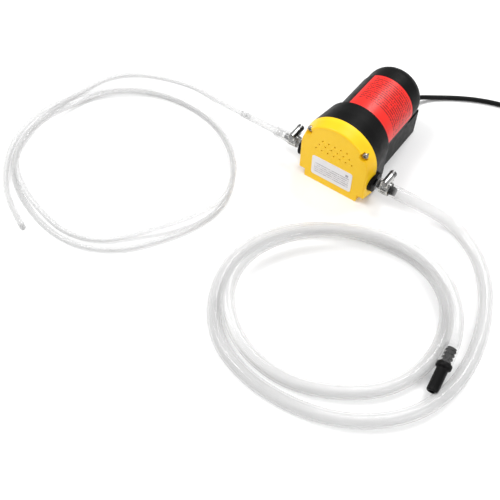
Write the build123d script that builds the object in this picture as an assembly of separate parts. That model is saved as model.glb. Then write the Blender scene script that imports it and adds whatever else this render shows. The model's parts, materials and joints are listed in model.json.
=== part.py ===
"""Fluid transfer pump: a 12 V gear pump with its suction and discharge hoses, lead and battery clips.

Millimetres. +X is the outlet side, +Y points to the rear of the motor, +Z is up, and the floor is Z = 0.
The origin is the middle of the footprint of the housing.
"""

from build123d import *
from math import cos, degrees, pi, radians, sin, tan
import os

os.makedirs("parts", exist_ok=True)

# ---------------------------------------------------------------- driving sizes
# Body, front to rear
FACE_Y = -58.0            # flat front of the cover
COVER_DEPTH = 12.7        # cover, front face to its rim
COLLAR_DEPTH = 27.3       # wide collar behind the cover
BARREL_LENGTH = 52.0      # round barrel behind the collar
CAP_LENGTH = 26.0         # domed cap behind the barrel
BASE_REAR_SETBACK = 1.5   # the plinth ends this far before the cap does

# Body, across
FACE_RADIUS = 35.0        # arch of the cover at its face
RIM_RADIUS = 37.6         # arch of the cover at its rim and of the collar in front
COLLAR_REAR_RADIUS = 33.5
ARCH_Z = 38.0             # centre of the cover's arch
AXIS_Z = 40.0             # motor axis
BARREL_RADIUS = 29.3
CAP_RADIUS = 28.5
CAP_ROUNDING = 13.0
BASE_HALF_WIDTH = 27.5
FOOT_HALF_WIDTH = 28.5
SKIRT_Z = 7.5             # underside of the cover and of the collar beside the foot
PLINTH_REAR_HEIGHT = 27.0
PLINTH_CORNER = 4.0
WALL = 2.4
FIT = 0.2                 # clearance between mouldings that slide together

# Vent holes, label and cover screws
VENT_PITCH = 6.3
VENT_ROW = 5.7
VENT_TOP_Z = 53.9
VENT_RADIUS = 0.85
VENT_TOP_COUNT = 5
RATING_HALF_WIDTH = 21.5
RATING_LOW_Z = 8.5
RATING_HIGH_Z = 32.3
RATING_CORNER = 2.5
LABEL_THICKNESS = 0.3
COVER_ROUNDING = 1.6
COVER_SCREW_X = 28.5
COVER_SCREW_Z = 58.0
COVER_SCREW_POCKET = 4.2
COVER_SCREW_DEPTH = 4.5
COVER_SCREW_LENGTH = 16.0
SCREW_HEAD_RADIUS = 2.7
SCREW_HEAD_HEIGHT = 2.0
SCREW_SHANK_RADIUS = 1.5
WARNING_START = 1.5       # warning label, from the collar
WARNING_END = 0.8         # and from the cap
WARNING_HALF_ANGLE = 62.0
WARNING_TURN = 32.0       # the label sits this many degrees round towards the outlet

# Gear pump
PORT_Z = 23.0
PUMP_RADIUS = 29.0
PUMP_BOTTOM_Z = 10.6
PLATE_FRONT = 4.5         # front of the wear plate, from the face of the cover
PLATE_THICKNESS = 3.5
CHAMBER_DEPTH = 10.0
BODY_DEPTH = 20.0
GEAR_MODULE = 1.5
GEAR_TEETH = 12
GEAR_SIDE_CLEARANCE = 0.2
CHAMBER_CLEARANCE = 0.3
SHAFT_RADIUS = 3.0
RUNNING_FIT = 0.04
PORT_BORE = 3.0
BOSS_RADIUS = 9.5
BOSS_END = 40.0
BARB_LENGTH = 20.0
OUTLET_BARB_RADIUS = 4.45
INLET_BARB_RADIUS = 3.45
BARB_COUNT = 3
BARB_DEPTH = 0.7
SEAL_WIDTH = 1.6
SEAL_DEPTH = 1.2
BUSH_RADIUS = 6.0
PUMP_SCREWS = ((17.9, 56.0), (24.3, 37.5), (20.5, 14.8))   # X and Z, on both sides
PUMP_SCREW_SHANK = 1.5
PUMP_SCREW_HEAD = 2.75
PUMP_SCREW_GRIP = 6.0     # how far the screws go into the housing's flange

# Motor
CAN_RADIUS = 22.0
CAN_WALL = 1.5
CAN_LENGTH = 56.0
MAGNET_THICKNESS = 4.6
MAGNET_LENGTH = 40.0
MAGNET_HALF_ANGLE = 58.0
AIR_GAP = 0.6
CORE_LENGTH = 32.0
CORE_SLOTS = 8
WINDING_OVERHANG = 5.0
COMMUTATOR_RADIUS = 6.5
COMMUTATOR_LENGTH = 7.0
BEARING_RADIUS = 8.0
BEARING_WIDTH = 5.0
END_BELL_LENGTH = 6.0
BRUSH_WIDTH = 4.5
BRUSH_HEIGHT = 5.0
BRUSH_LENGTH = 7.0
TIE_SCREW_RADIUS = 1.5
TIE_SCREW_CIRCLE = 18.2

# Switch on the flat of the cap, and gland on the rear of the plinth
SWITCH_Z = 47.0
SWITCH_WIDTH = 15.0
SWITCH_HEIGHT = 11.0
SWITCH_BODY_DEPTH = 12.0
SWITCH_FLANGE = 1.6
ROCKER_CLEARANCE = 0.4
ROCKER_TILT = 10.0
ROCKER_PIN = 0.7          # pins that the rocker turns on
ROCKER_PIN_REACH = 0.9    # how far they stand out of its sides
ROCKER_PIN_FIT = 0.1
GLAND_X = 7.0
GLAND_Z = 9.5
GLAND_FLANGE_RADIUS = 4.2
GLAND_LENGTH = 20.0

# Hoses
OUT_HOSE_RADIUS = 6.0
OUT_HOSE_BORE = 4.5
IN_SLEEVE_RADIUS = 5.0
IN_SLEEVE_BORE = 3.6
REDUCER_RADIUS = 3.55
REDUCER_BORE = 2.65
IN_HOSE_RADIUS = 2.6
IN_HOSE_BORE = 1.7
HOSE_START = 41.5         # where a hose begins on its barb, from the middle of the pump
SLEEVE_END = 71.0         # where the inlet sleeve ends round the reducer

# Hose clamps
CLAMP_X = 50.0
CLAMP_WIDTH = 9.0
CLAMP_BAND = 0.7
CLAMP_GAP = 0.05
CLAMP_SLOT_ARC = 250.0    # stretch of the band that is slotted, in degrees
CLAMP_SLOT_SPACING = 2.62 # middle of one slot to the next, along the band
WORM_RISE = 0.3           # worm above the band
WORM_RADIUS = 2.6
WORM_LENGTH = 12.0
WORM_HEAD_RADIUS = 3.5
WORM_HEAD_LENGTH = 4.5
WORM_HOUSING_WALL = 0.8

# Power lead
CORD_RADIUS = 2.4
COIL_RADIUS = 27.5        # middle of the turns
COIL_X = 160.0
COIL_Y = 128.0
COIL_LAYERS = 3
COIL_COLUMNS = 2
LEAD_RADIUS = 1.4
LEAD_SLEEVE_RADIUS = 3.0
LEAD_SLEEVE_LENGTH = 14.0
TIE_WIDTH = 5.0
TIE_THICKNESS = 0.9
CLIP_SHEET = 1.2
CLIP_EAR = 0.9
CLIP_PIN = 1.25
CLIP_TOOTH_PITCH = 2.6

# Hose end
NOZZLE_RADIUS = 4.6
NOZZLE_LENGTH = 25.0
NOZZLE_COLLAR = 6.4
NOZZLE_COLLAR_LENGTH = 4.0
NOZZLE_TAIL = 14.0
NOZZLE_STEM = 3.7
NOZZLE_BARB = 4.4
NOZZLE_BORE = 2.8

# ---------------------------------------------------------------- places that follow
SPLIT_Y = FACE_Y + COVER_DEPTH
PORT_Y = SPLIT_Y
COLLAR_REAR_Y = SPLIT_Y + COLLAR_DEPTH
BARREL_REAR_Y = COLLAR_REAR_Y + BARREL_LENGTH
REAR_Y = BARREL_REAR_Y + CAP_LENGTH
BASE_REAR_Y = REAR_Y - BASE_REAR_SETBACK
PLATE_Y = FACE_Y + PLATE_FRONT
CHAMBER_Y = PLATE_Y + PLATE_THICKNESS
CHAMBER_REAR_Y = CHAMBER_Y + CHAMBER_DEPTH
PUMP_REAR_Y = CHAMBER_Y + BODY_DEPTH
GEAR_PITCH_RADIUS = GEAR_MODULE * GEAR_TEETH / 2
GEAR_TIP_RADIUS = GEAR_PITCH_RADIUS + 0.85 * GEAR_MODULE
GEAR_ROOT_RADIUS = GEAR_PITCH_RADIUS - 1.1 * GEAR_MODULE
IDLER_Z = AXIS_Z - 2 * GEAR_PITCH_RADIUS
CHAMBER_RADIUS = GEAR_TIP_RADIUS + CHAMBER_CLEARANCE
CAN_Y = PUMP_REAR_Y
CAN_REAR_Y = CAN_Y + CAN_LENGTH
BELL_REAR_Y = CAN_REAR_Y + END_BELL_LENGTH
MAGNET_OUTER = CAN_RADIUS - CAN_WALL
MAGNET_INNER = MAGNET_OUTER - MAGNET_THICKNESS
CORE_RADIUS = MAGNET_INNER - AIR_GAP
CORE_Y = CAN_Y + 12.0
FLANGE_Y = PUMP_REAR_Y
FLANGE_THICKNESS = 3.0


# ---------------------------------------------------------------- helpers
def along_y(radius, y0, y1, x=0.0, z=0.0):
    """A solid cylinder whose axis is parallel to Y."""
    return Pos(x, (y0 + y1) / 2, z) * Rot(90, 0, 0) * Cylinder(radius, abs(y1 - y0))


def along_x(radius, x0, x1, y=0.0, z=0.0):
    """A solid cylinder whose axis is parallel to X."""
    return Pos((x0 + x1) / 2, y, z) * Rot(0, 90, 0) * Cylinder(radius, abs(x1 - x0))


def block(x0, x1, y0, y1, z0, z1):
    """A box from its two corners."""
    return Pos((x0 + x1) / 2, (y0 + y1) / 2, (z0 + z1) / 2) * Box(abs(x1 - x0), abs(y1 - y0), abs(z1 - z0))


def arch_wire(radius, centre_z, bottom_z, y):
    """A round-topped outline with upright sides, across the Y axis."""
    side = Line((radius, y, bottom_z), (radius, y, centre_z))
    top = ThreePointArc((radius, y, centre_z), (0, y, centre_z + radius), (-radius, y, centre_z))
    other = Line((-radius, y, centre_z), (-radius, y, bottom_z))
    foot = Line((-radius, y, bottom_z), (radius, y, bottom_z))
    return Wire([side, top, other, foot])


def arch_loft(front, rear):
    """A solid between two arch outlines, each given as radius, centre height, bottom and Y."""
    return Solid.make_loft([arch_wire(*front), arch_wire(*rear)], True)


def barrel_section(radius, half_width, bottom_z):
    """The barrel's outline, a circle that runs down into an upright-sided plinth, drawn in X and Z."""
    shape = Sketch() + Pos(0, AXIS_Z) * Circle(radius)
    shape += Pos(0, (AXIS_Z + bottom_z) / 2) * Rectangle(2 * half_width, AXIS_Z - bottom_z)
    return shape


def extrude_y(section, y0, y1):
    """A section drawn in X and Z, carried from y0 to y1."""
    standing = Pos(0, y1, 0) * Rot(90, 0, 0) * section
    return extrude(standing, amount=y1 - y0, dir=(0, -1, 0))


def both_sides(make):
    """The piece that make returns for the outlet side and for the inlet side."""
    return [make(1), make(-1)]


def bend_radii(points):
    """One radius for each corner of a route: 0.45 of the shorter run over the tangent of half the turn."""
    radii = []
    for before, corner, after in zip(points, points[1:], points[2:]):
        run_in = Vector(*corner) - Vector(*before)
        run_out = Vector(*after) - Vector(*corner)
        turn = radians(run_in.get_angle(run_out))
        radii.append(0.45 * min(run_in.length, run_out.length) / tan(turn / 2))
    return radii


def route_path(name, points, diameter):
    """Straight runs joined by tangent arcs, with its bend radii printed in diameters."""
    radii = bend_radii(points)
    path = FilletPolyline(*points, radius=radii)
    print(f"{name}: length {path.length:.0f} mm, {len(points)} points, tightest bend "
          f"{min(radii):.0f} mm = {min(radii) / diameter:.1f} diameters")
    return path


def tube(name, points, radius, bore=0.0):
    """A round tube along a route, with its volume held against its section times its length."""
    path = route_path(name, points, 2 * radius)
    start = Plane(path @ 0, z_dir=path % 0)
    solid = sweep(start * Circle(radius), path=path)
    section = pi * radius ** 2
    if bore:
        solid -= sweep(start * Circle(bore), path=path)
        section -= pi * bore ** 2
    print(f"{name}: volume {solid.volume:.0f} mm3, section times length {section * path.length:.0f} mm3")
    return solid


def save(name, *solids):
    """Write one node from its separate solids."""
    pieces = []
    for shape in solids:
        pieces.extend(shape.solids())
    body = pieces[0] if len(pieces) == 1 else Compound(children=pieces)
    body.label = name
    export_step(body, f"parts/{name}.step")


# ---------------------------------------------------------------- housing
def make_front_cover():
    """Yellow cover: a drafted arch shell with its foot, vent holes, screw pockets and port notches."""
    shell = arch_loft((FACE_RADIUS, ARCH_Z, SKIRT_Z, FACE_Y), (RIM_RADIUS, ARCH_Z, SKIRT_Z, SPLIT_Y))
    shell = fillet(shell.edges().filter_by_position(Axis.Y, FACE_Y - 0.1, FACE_Y + 0.1), COVER_ROUNDING)
    foot = block(-FOOT_HALF_WIDTH, FOOT_HALF_WIDTH, FACE_Y, SPLIT_Y, 0, SKIRT_Z + WALL)
    foot = fillet(foot.edges().filter_by(Axis.Y).group_by(Axis.Z)[0], 1.2)
    tower = Compound(children=both_sides(
        lambda s: along_y(COVER_SCREW_POCKET + 1.4, FACE_Y + 1.0, SPLIT_Y, s * COVER_SCREW_X, COVER_SCREW_Z)))
    outside = shell + foot
    hollow = arch_loft((FACE_RADIUS - WALL, ARCH_Z, SKIRT_Z + WALL, FACE_Y + WALL),
                       (RIM_RADIUS - WALL, ARCH_Z, SKIRT_Z + WALL, SPLIT_Y))
    hollow += block(-FOOT_HALF_WIDTH + WALL, FOOT_HALF_WIDTH - WALL, FACE_Y + WALL, SPLIT_Y,
                    WALL, SKIRT_Z + 2 * WALL)
    cover = outside - hollow
    inside = arch_loft((FACE_RADIUS - 1, ARCH_Z, SKIRT_Z, FACE_Y), (RIM_RADIUS - 1, ARCH_Z, SKIRT_Z, SPLIT_Y))
    cover += tower & inside
    for side in (1, -1):
        cover -= along_y(COVER_SCREW_POCKET, FACE_Y - 1, FACE_Y + COVER_SCREW_DEPTH,
                         side * COVER_SCREW_X, COVER_SCREW_Z)
        cover -= along_y(SCREW_SHANK_RADIUS + FIT, FACE_Y, SPLIT_Y + 1, side * COVER_SCREW_X, COVER_SCREW_Z)
        cover -= along_x(BOSS_RADIUS + 2 * FIT, side * 25, side * 45, PORT_Y, PORT_Z)
    for row in range(3):
        count = VENT_TOP_COUNT + row
        for hole in range(count):
            x = (hole - (count - 1) / 2) * VENT_PITCH
            cover -= along_y(VENT_RADIUS, FACE_Y - 1, FACE_Y + WALL + 1, x, VENT_TOP_Z - row * VENT_ROW)
    return cover


def rounded_plate(half_width, low_z, high_z, corner, y0, y1):
    """A flat plate across Y with rounded corners."""
    outline = Pos(0, (low_z + high_z) / 2) * RectangleRounded(2 * half_width, high_z - low_z, corner)
    return extrude_y(outline, y0, y1)


def make_motor_housing():
    """Black housing in one moulding: collar round the pump, barrel round the motor and plinth below."""
    collar = arch_loft((RIM_RADIUS, ARCH_Z, SKIRT_Z, SPLIT_Y),
                       (COLLAR_REAR_RADIUS, AXIS_Z, SKIRT_Z, COLLAR_REAR_Y))
    collar_hollow = arch_loft((RIM_RADIUS - WALL, ARCH_Z, SKIRT_Z + WALL, SPLIT_Y),
                              (COLLAR_REAR_RADIUS - WALL, AXIS_Z, SKIRT_Z + WALL, COLLAR_REAR_Y - WALL))
    barrel = extrude_y(barrel_section(BARREL_RADIUS, BASE_HALF_WIDTH, 0), COLLAR_REAR_Y - WALL, BARREL_REAR_Y)
    tongue = block(-BASE_HALF_WIDTH, BASE_HALF_WIDTH, SPLIT_Y, COLLAR_REAR_Y, 0, SKIRT_Z + WALL)
    plinth = block(-BASE_HALF_WIDTH, BASE_HALF_WIDTH, BARREL_REAR_Y - WALL, BASE_REAR_Y,
                   0, PLINTH_REAR_HEIGHT)
    plinth = fillet(plinth.edges().filter_by(Axis.Z).group_by(Axis.Y)[-1], PLINTH_CORNER)
    inner_corner = PLINTH_CORNER - WALL
    room = block(-BASE_HALF_WIDTH + WALL, BASE_HALF_WIDTH - WALL, BARREL_REAR_Y - 2 * WALL,
                 BASE_REAR_Y - WALL, WALL, PLINTH_REAR_HEIGHT - WALL)
    room = fillet(room.edges().filter_by(Axis.Z).group_by(Axis.Y)[-1], inner_corner)
    collar_space = collar_hollow + block(-BASE_HALF_WIDTH + WALL, BASE_HALF_WIDTH - WALL,
                                         SPLIT_Y, COLLAR_REAR_Y, WALL, SKIRT_Z + 2 * WALL)
    barrel_space = extrude_y(barrel_section(BARREL_RADIUS - WALL, BASE_HALF_WIDTH - WALL, WALL),
                             COLLAR_REAR_Y - WALL - 0.01, BARREL_REAR_Y)
    housing = collar + barrel + tongue + plinth
    housing = housing - collar_space - barrel_space - room
    housing -= along_y(CAP_RADIUS + FIT, BARREL_REAR_Y, REAR_Y + 1, 0, AXIS_Z)
    slab = block(-50, 50, FLANGE_Y, FLANGE_Y + FLANGE_THICKNESS, SKIRT_Z + WALL / 2, 90)
    flange = (collar & slab) - along_y(CAN_RADIUS + 2 * FIT, FLANGE_Y - 1, FLANGE_Y + 10, 0, AXIS_Z)
    housing += flange
    for x, z in PUMP_SCREWS:
        for side in (1, -1):
            boss = along_y(2.1 * PUMP_SCREW_SHANK, FLANGE_Y, FLANGE_Y + PUMP_SCREW_GRIP + 1, side * x, z)
            housing += boss - along_y(CAN_RADIUS + 2 * FIT, FLANGE_Y - 1, FLANGE_Y + 20, 0, AXIS_Z)
            housing -= along_y(PUMP_SCREW_SHANK + 0.02, FLANGE_Y - 1, FLANGE_Y + PUMP_SCREW_GRIP, side * x, z)
    for side in (1, -1):
        post = along_y(COVER_SCREW_POCKET, SPLIT_Y, COLLAR_REAR_Y - WALL, side * COVER_SCREW_X, COVER_SCREW_Z)
        housing += post & collar
        housing -= along_y(SCREW_SHANK_RADIUS + 0.02, SPLIT_Y - 1,
                           FACE_Y + COVER_SCREW_DEPTH + COVER_SCREW_LENGTH + 0.5,
                           side * COVER_SCREW_X, COVER_SCREW_Z)
        housing -= along_x(BOSS_RADIUS + 2 * FIT, side * 25, side * 45, PORT_Y, PORT_Z)
    return housing


def make_rear_cap():
    """Domed cap with a lip that fits inside the barrel, and the openings of the switch and gland."""
    outside = along_y(CAP_RADIUS, BARREL_REAR_Y, REAR_Y, 0, AXIS_Z)
    outside = fillet(outside.edges().filter_by_position(Axis.Y, REAR_Y - 0.1, REAR_Y + 0.1), CAP_ROUNDING)
    inside = along_y(CAP_RADIUS - WALL, BARREL_REAR_Y - 5, REAR_Y - WALL, 0, AXIS_Z)
    inside = fillet(inside.edges().filter_by_position(Axis.Y, REAR_Y - WALL - 0.1, REAR_Y - WALL + 0.1),
                    CAP_ROUNDING - WALL)
    lip = along_y(BARREL_RADIUS - WALL - FIT, BARREL_REAR_Y - 4, BARREL_REAR_Y + 1, 0, AXIS_Z)
    lip -= block(-40, 40, BARREL_REAR_Y - 5, BARREL_REAR_Y, 0, AXIS_Z - 14)
    cap = (outside + lip) - inside
    cap -= block(-SWITCH_WIDTH / 2 + 1, SWITCH_WIDTH / 2 - 1, REAR_Y - 5, REAR_Y + 1,
                 SWITCH_Z - SWITCH_HEIGHT / 2 + 1, SWITCH_Z + SWITCH_HEIGHT / 2 - 1)
    return cap


def make_warning_label():
    """Red label wrapped round the barrel."""
    y0 = COLLAR_REAR_Y + WARNING_START
    y1 = BARREL_REAR_Y - WARNING_END
    ring = along_y(BARREL_RADIUS + LABEL_THICKNESS, y0, y1, 0, AXIS_Z) - along_y(
        BARREL_RADIUS, y0 - 1, y1 + 1, 0, AXIS_Z)
    window = ring_sector(BARREL_RADIUS - 1, BARREL_RADIUS + 2, WARNING_HALF_ANGLE, y0 - 1, y1 + 1,
                         90 - WARNING_TURN)
    return ring & window


def ring_sector(inner, outer, half_angle, y0, y1, middle, z=None):
    """Part of a ring round the motor axis, centred on an angle from +X towards +Z."""
    centre = AXIS_Z if z is None else z
    def at(radius, angle):
        return (radius * cos(radians(angle)), centre + radius * sin(radians(angle)))
    low, high = middle - half_angle, middle + half_angle
    outline = make_face([
        ThreePointArc(at(outer, low), at(outer, middle), at(outer, high)),
        Line(at(outer, high), at(inner, high)),
        ThreePointArc(at(inner, high), at(inner, middle), at(inner, low)),
        Line(at(inner, low), at(outer, low)),
    ])
    return extrude_y(outline, y0, y1)


def make_screw(x, z, head_y, length, head_radius, head_height, shank_radius):
    """A pan-head cross-recess screw pointing to the rear."""
    head = along_y(head_radius, head_y, head_y + head_height, x, z)
    head = fillet(head.edges().filter_by_position(Axis.Y, head_y - 0.01, head_y + 0.01), 0.35 * head_height)
    screw = head + along_y(shank_radius, head_y + head_height / 2, head_y + head_height + length, x, z)
    slot = 0.3 * head_radius
    reach = 0.62 * head_radius
    screw -= block(x - reach, x + reach, head_y - 1, head_y + 0.6 * head_height, z - slot / 2, z + slot / 2)
    screw -= block(x - slot / 2, x + slot / 2, head_y - 1, head_y + 0.6 * head_height, z - reach, z + reach)
    return screw


# ---------------------------------------------------------------- gear pump
def gear_profile(phase):
    """A spur gear's outline in X and Z about the origin: straight-flanked teeth on a root circle."""
    half = [(GEAR_ROOT_RADIUS - 0.2, 1.45), (GEAR_PITCH_RADIUS, 1.0), (GEAR_TIP_RADIUS, 0.5)]
    gear = Sketch() + Circle(GEAR_ROOT_RADIUS)
    for tooth in range(GEAR_TEETH):
        outline = [(radius, -width) for radius, width in half]
        outline += [(radius, width) for radius, width in reversed(half)]
        gear += Rot(0, 0, phase + tooth * 360 / GEAR_TEETH) * make_face(Polyline(*outline, close=True))
    return gear


def make_gear(z, phase, bore):
    """One gear of the pump in its chamber."""
    outline = Pos(0, z) * gear_profile(phase)
    gear = extrude_y(outline, CHAMBER_Y + GEAR_SIDE_CLEARANCE, CHAMBER_REAR_Y - GEAR_SIDE_CLEARANCE)
    return gear - along_y(bore, CHAMBER_Y, CHAMBER_REAR_Y, 0, z)


def make_barb(side, stem_radius):
    """Hose barb at the end of a port, with rings that slope towards its tip."""
    stem = along_x(stem_radius - BARB_DEPTH, side * BOSS_END, side * (BOSS_END + BARB_LENGTH), PORT_Y, PORT_Z)
    pitch = (BARB_LENGTH - 5) / BARB_COUNT
    for ring in range(BARB_COUNT):
        start = BOSS_END + 4 + ring * pitch
        cone = Pos(side * (start + pitch / 2), PORT_Y, PORT_Z) * Rot(0, side * 90, 0) * Cone(
            stem_radius, stem_radius - BARB_DEPTH, pitch)
        stem += cone
    return stem


def make_pump_body():
    """Pump body with its two gear chambers, passages, port bosses and barbs."""
    body = extrude_arch(PUMP_RADIUS, PUMP_BOTTOM_Z, CHAMBER_Y, PUMP_REAR_Y)
    body -= along_y(CHAMBER_RADIUS, CHAMBER_Y - 1, CHAMBER_REAR_Y, 0, AXIS_Z)
    body -= along_y(CHAMBER_RADIUS, CHAMBER_Y - 1, CHAMBER_REAR_Y, 0, IDLER_Z)
    for side, radius in ((1, OUTLET_BARB_RADIUS), (-1, INLET_BARB_RADIUS)):
        body += along_x(BOSS_RADIUS, side * (PUMP_RADIUS - 0.5), side * BOSS_END, PORT_Y, PORT_Z)
        body += make_barb(side, radius)
        bore = min(PORT_BORE, radius - BARB_DEPTH - 0.8)
        body -= along_x(bore, side * 9, side * (BOSS_END + BARB_LENGTH + 1), PORT_Y, PORT_Z)
        body -= block(side * 8, side * 13, PORT_Y - PORT_BORE, PORT_Y + PORT_BORE, PORT_Z - PORT_BORE, 34)
    body -= along_y(BUSH_RADIUS, CHAMBER_REAR_Y - 1, PUMP_REAR_Y + 1, 0, AXIS_Z)
    body -= along_y(SHAFT_RADIUS, CHAMBER_REAR_Y - 1, CHAMBER_REAR_Y + 4.2, 0, IDLER_Z)
    body -= seal_ring(SEAL_WIDTH + 0.1, 0.05)
    for x, z in PUMP_SCREWS:
        for side in (1, -1):
            body -= along_y(PUMP_SCREW_SHANK + 0.1, CHAMBER_Y - 1, PUMP_REAR_Y + 1, side * x, z)
    for z in (AXIS_Z - TIE_SCREW_CIRCLE, AXIS_Z + TIE_SCREW_CIRCLE):
        body -= along_y(TIE_SCREW_RADIUS + 0.02, PUMP_REAR_Y - 6, PUMP_REAR_Y + 1, 0, z)
    return body


def extrude_arch(radius, bottom_z, y0, y1):
    """A straight arch-shaped block between two places along Y."""
    return arch_loft((radius, ARCH_Z, bottom_z, y0), (radius, ARCH_Z, bottom_z, y1))


def seal_ring(width, extra):
    """A closed ring round both gear chambers, sunk in the front of the pump body."""
    middle = CHAMBER_RADIUS + 2.2
    def track(radius):
        shape = Sketch() + Pos(0, AXIS_Z) * Circle(radius) + Pos(0, IDLER_Z) * Circle(radius)
        shape += Pos(0, (AXIS_Z + IDLER_Z) / 2) * Rectangle(2 * radius, AXIS_Z - IDLER_Z)
        return shape
    outline = track(middle + width / 2) - track(middle - width / 2)
    return extrude_y(outline, CHAMBER_Y, CHAMBER_Y + SEAL_DEPTH + extra)


def make_wear_plate():
    """Plate that closes the gear chambers and carries the front ends of both shafts."""
    plate = extrude_arch(PUMP_RADIUS - 3 * FIT, PUMP_BOTTOM_Z + FIT, PLATE_Y, CHAMBER_Y)
    plate -= along_y(SHAFT_RADIUS + RUNNING_FIT, PLATE_Y + 1, CHAMBER_Y + 1, 0, AXIS_Z)
    plate -= along_y(SHAFT_RADIUS, PLATE_Y + 1, CHAMBER_Y + 1, 0, IDLER_Z)
    for x, z in PUMP_SCREWS:
        for side in (1, -1):
            plate -= along_y(PUMP_SCREW_SHANK + 0.1, PLATE_Y - 1, CHAMBER_Y + 1, side * x, z)
            plate -= along_y(PUMP_SCREW_HEAD + 0.1, PLATE_Y - 1, PLATE_Y + SCREW_HEAD_HEIGHT, side * x, z)
    return plate


# ---------------------------------------------------------------- motor
def make_motor_can():
    """Steel can, closed in front round the bearing and open at the rear."""
    can = along_y(CAN_RADIUS, CAN_Y, CAN_REAR_Y, 0, AXIS_Z) - along_y(
        CAN_RADIUS - CAN_WALL, CAN_Y + CAN_WALL, CAN_REAR_Y + 1, 0, AXIS_Z)
    can += along_y(BEARING_RADIUS + CAN_WALL, CAN_Y, CAN_Y + BEARING_WIDTH, 0, AXIS_Z)
    can -= along_y(BEARING_RADIUS, CAN_Y - 1, CAN_Y + BEARING_WIDTH + 1, 0, AXIS_Z)
    for z in (AXIS_Z - TIE_SCREW_CIRCLE, AXIS_Z + TIE_SCREW_CIRCLE):
        can -= along_y(TIE_SCREW_RADIUS + 0.05, CAN_Y - 1, CAN_Y + 3, 0, z)
    return can


def make_bearing(y):
    """A ball bearing as one ring."""
    return along_y(BEARING_RADIUS, y, y + BEARING_WIDTH, 0, AXIS_Z) - along_y(
        SHAFT_RADIUS + RUNNING_FIT, y - 1, y + BEARING_WIDTH + 1, 0, AXIS_Z)


def slot_bars(width, inner, outer, y0, y1):
    """The bars that fill or cut the slots of the armature."""
    bars = []
    for slot in range(CORE_SLOTS):
        bar = block(inner, outer, y0, y1, -width / 2, width / 2)
        bars.append(Pos(0, 0, AXIS_Z) * Rot(0, slot * 360 / CORE_SLOTS, 0) * bar)
    return bars


def make_armature_core():
    """Laminated core with its winding slots."""
    core = along_y(CORE_RADIUS, CORE_Y, CORE_Y + CORE_LENGTH, 0, AXIS_Z)
    for bar in slot_bars(3.0, 6.5, CORE_RADIUS + 1, CORE_Y - 1, CORE_Y + CORE_LENGTH + 1):
        core -= bar
    return core - along_y(SHAFT_RADIUS, CORE_Y - 1, CORE_Y + CORE_LENGTH + 1, 0, AXIS_Z)


def make_winding():
    """Copper winding: bars in the slots and a ring of end turns at each end of the core."""
    winding = None
    core_end = CORE_Y + CORE_LENGTH
    for y0, y1 in ((CORE_Y - WINDING_OVERHANG, CORE_Y), (core_end, core_end + WINDING_OVERHANG)):
        ring = along_y(CORE_RADIUS - 1.6, y0, y1, 0, AXIS_Z)
        ring = fillet(ring.edges(), 1.4)
        ring -= along_y(SHAFT_RADIUS + 0.1, y0 - 1, y1 + 1, 0, AXIS_Z)
        winding = ring if winding is None else winding + ring
    for bar in slot_bars(2.9, 6.6, CORE_RADIUS - 0.8, CORE_Y - 0.5, CORE_Y + CORE_LENGTH + 0.5):
        winding += bar
    return winding


def make_commutator():
    """Commutator with its saw cuts."""
    y0 = CORE_Y + CORE_LENGTH + WINDING_OVERHANG + 0.5
    y1 = y0 + COMMUTATOR_LENGTH
    ring = along_y(COMMUTATOR_RADIUS, y0, y1, 0, AXIS_Z) - along_y(SHAFT_RADIUS, y0 - 1, y1 + 1, 0, AXIS_Z)
    for bar in slot_bars(0.5, COMMUTATOR_RADIUS - 0.8, COMMUTATOR_RADIUS + 1, y0 - 1, y1 + 1):
        ring -= bar
    return ring


BRUSH_Y = CORE_Y + CORE_LENGTH + WINDING_OVERHANG + 0.5 + COMMUTATOR_LENGTH / 2
BRUSH_GAP = 0.1
BRUSH_BOX_END = CAN_RADIUS - CAN_WALL - 0.4


def make_end_bell():
    """Plastic end bell with the rear bearing's seat and the two brush boxes."""
    bell = along_y(CAN_RADIUS, CAN_REAR_Y, BELL_REAR_Y, 0, AXIS_Z)
    bell += along_y(CAN_RADIUS - CAN_WALL - 0.05, CAN_REAR_Y - 1.5, CAN_REAR_Y, 0, AXIS_Z)
    bell -= along_y(COMMUTATOR_RADIUS + 1.2, CAN_REAR_Y - 2, CAN_REAR_Y + 1, 0, AXIS_Z)
    box_front = BRUSH_Y - BRUSH_WIDTH / 2 - 1.0
    for side in (1, -1):
        bell += block(side * (COMMUTATOR_RADIUS + 1.4), side * BRUSH_BOX_END, box_front, CAN_REAR_Y,
                      AXIS_Z - BRUSH_HEIGHT / 2 - 1.2, AXIS_Z + BRUSH_HEIGHT / 2 + 1.2)
        bell -= block(side * COMMUTATOR_RADIUS, side * (BRUSH_BOX_END - 1), BRUSH_Y - BRUSH_WIDTH / 2 - 0.1,
                      BRUSH_Y + BRUSH_WIDTH / 2 + 0.1, AXIS_Z - BRUSH_HEIGHT / 2 - 0.1,
                      AXIS_Z + BRUSH_HEIGHT / 2 + 0.1)
    bell -= along_y(BEARING_RADIUS, BELL_REAR_Y - BEARING_WIDTH, BELL_REAR_Y + 1, 0, AXIS_Z)
    bell -= along_y(SHAFT_RADIUS + 0.3, CAN_REAR_Y - 2, BELL_REAR_Y, 0, AXIS_Z)
    for z in (AXIS_Z - TIE_SCREW_CIRCLE, AXIS_Z + TIE_SCREW_CIRCLE):
        bell -= along_y(TIE_SCREW_RADIUS + 0.05, CAN_REAR_Y - 3, BELL_REAR_Y + 1, 0, z)
    return bell


def make_brush(side):
    """One carbon brush, just clear of the commutator."""
    start = COMMUTATOR_RADIUS + BRUSH_GAP
    return block(side * start, side * (start + BRUSH_LENGTH),
                 BRUSH_Y - BRUSH_WIDTH / 2, BRUSH_Y + BRUSH_WIDTH / 2,
                 AXIS_Z - BRUSH_HEIGHT / 2, AXIS_Z + BRUSH_HEIGHT / 2)


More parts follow.
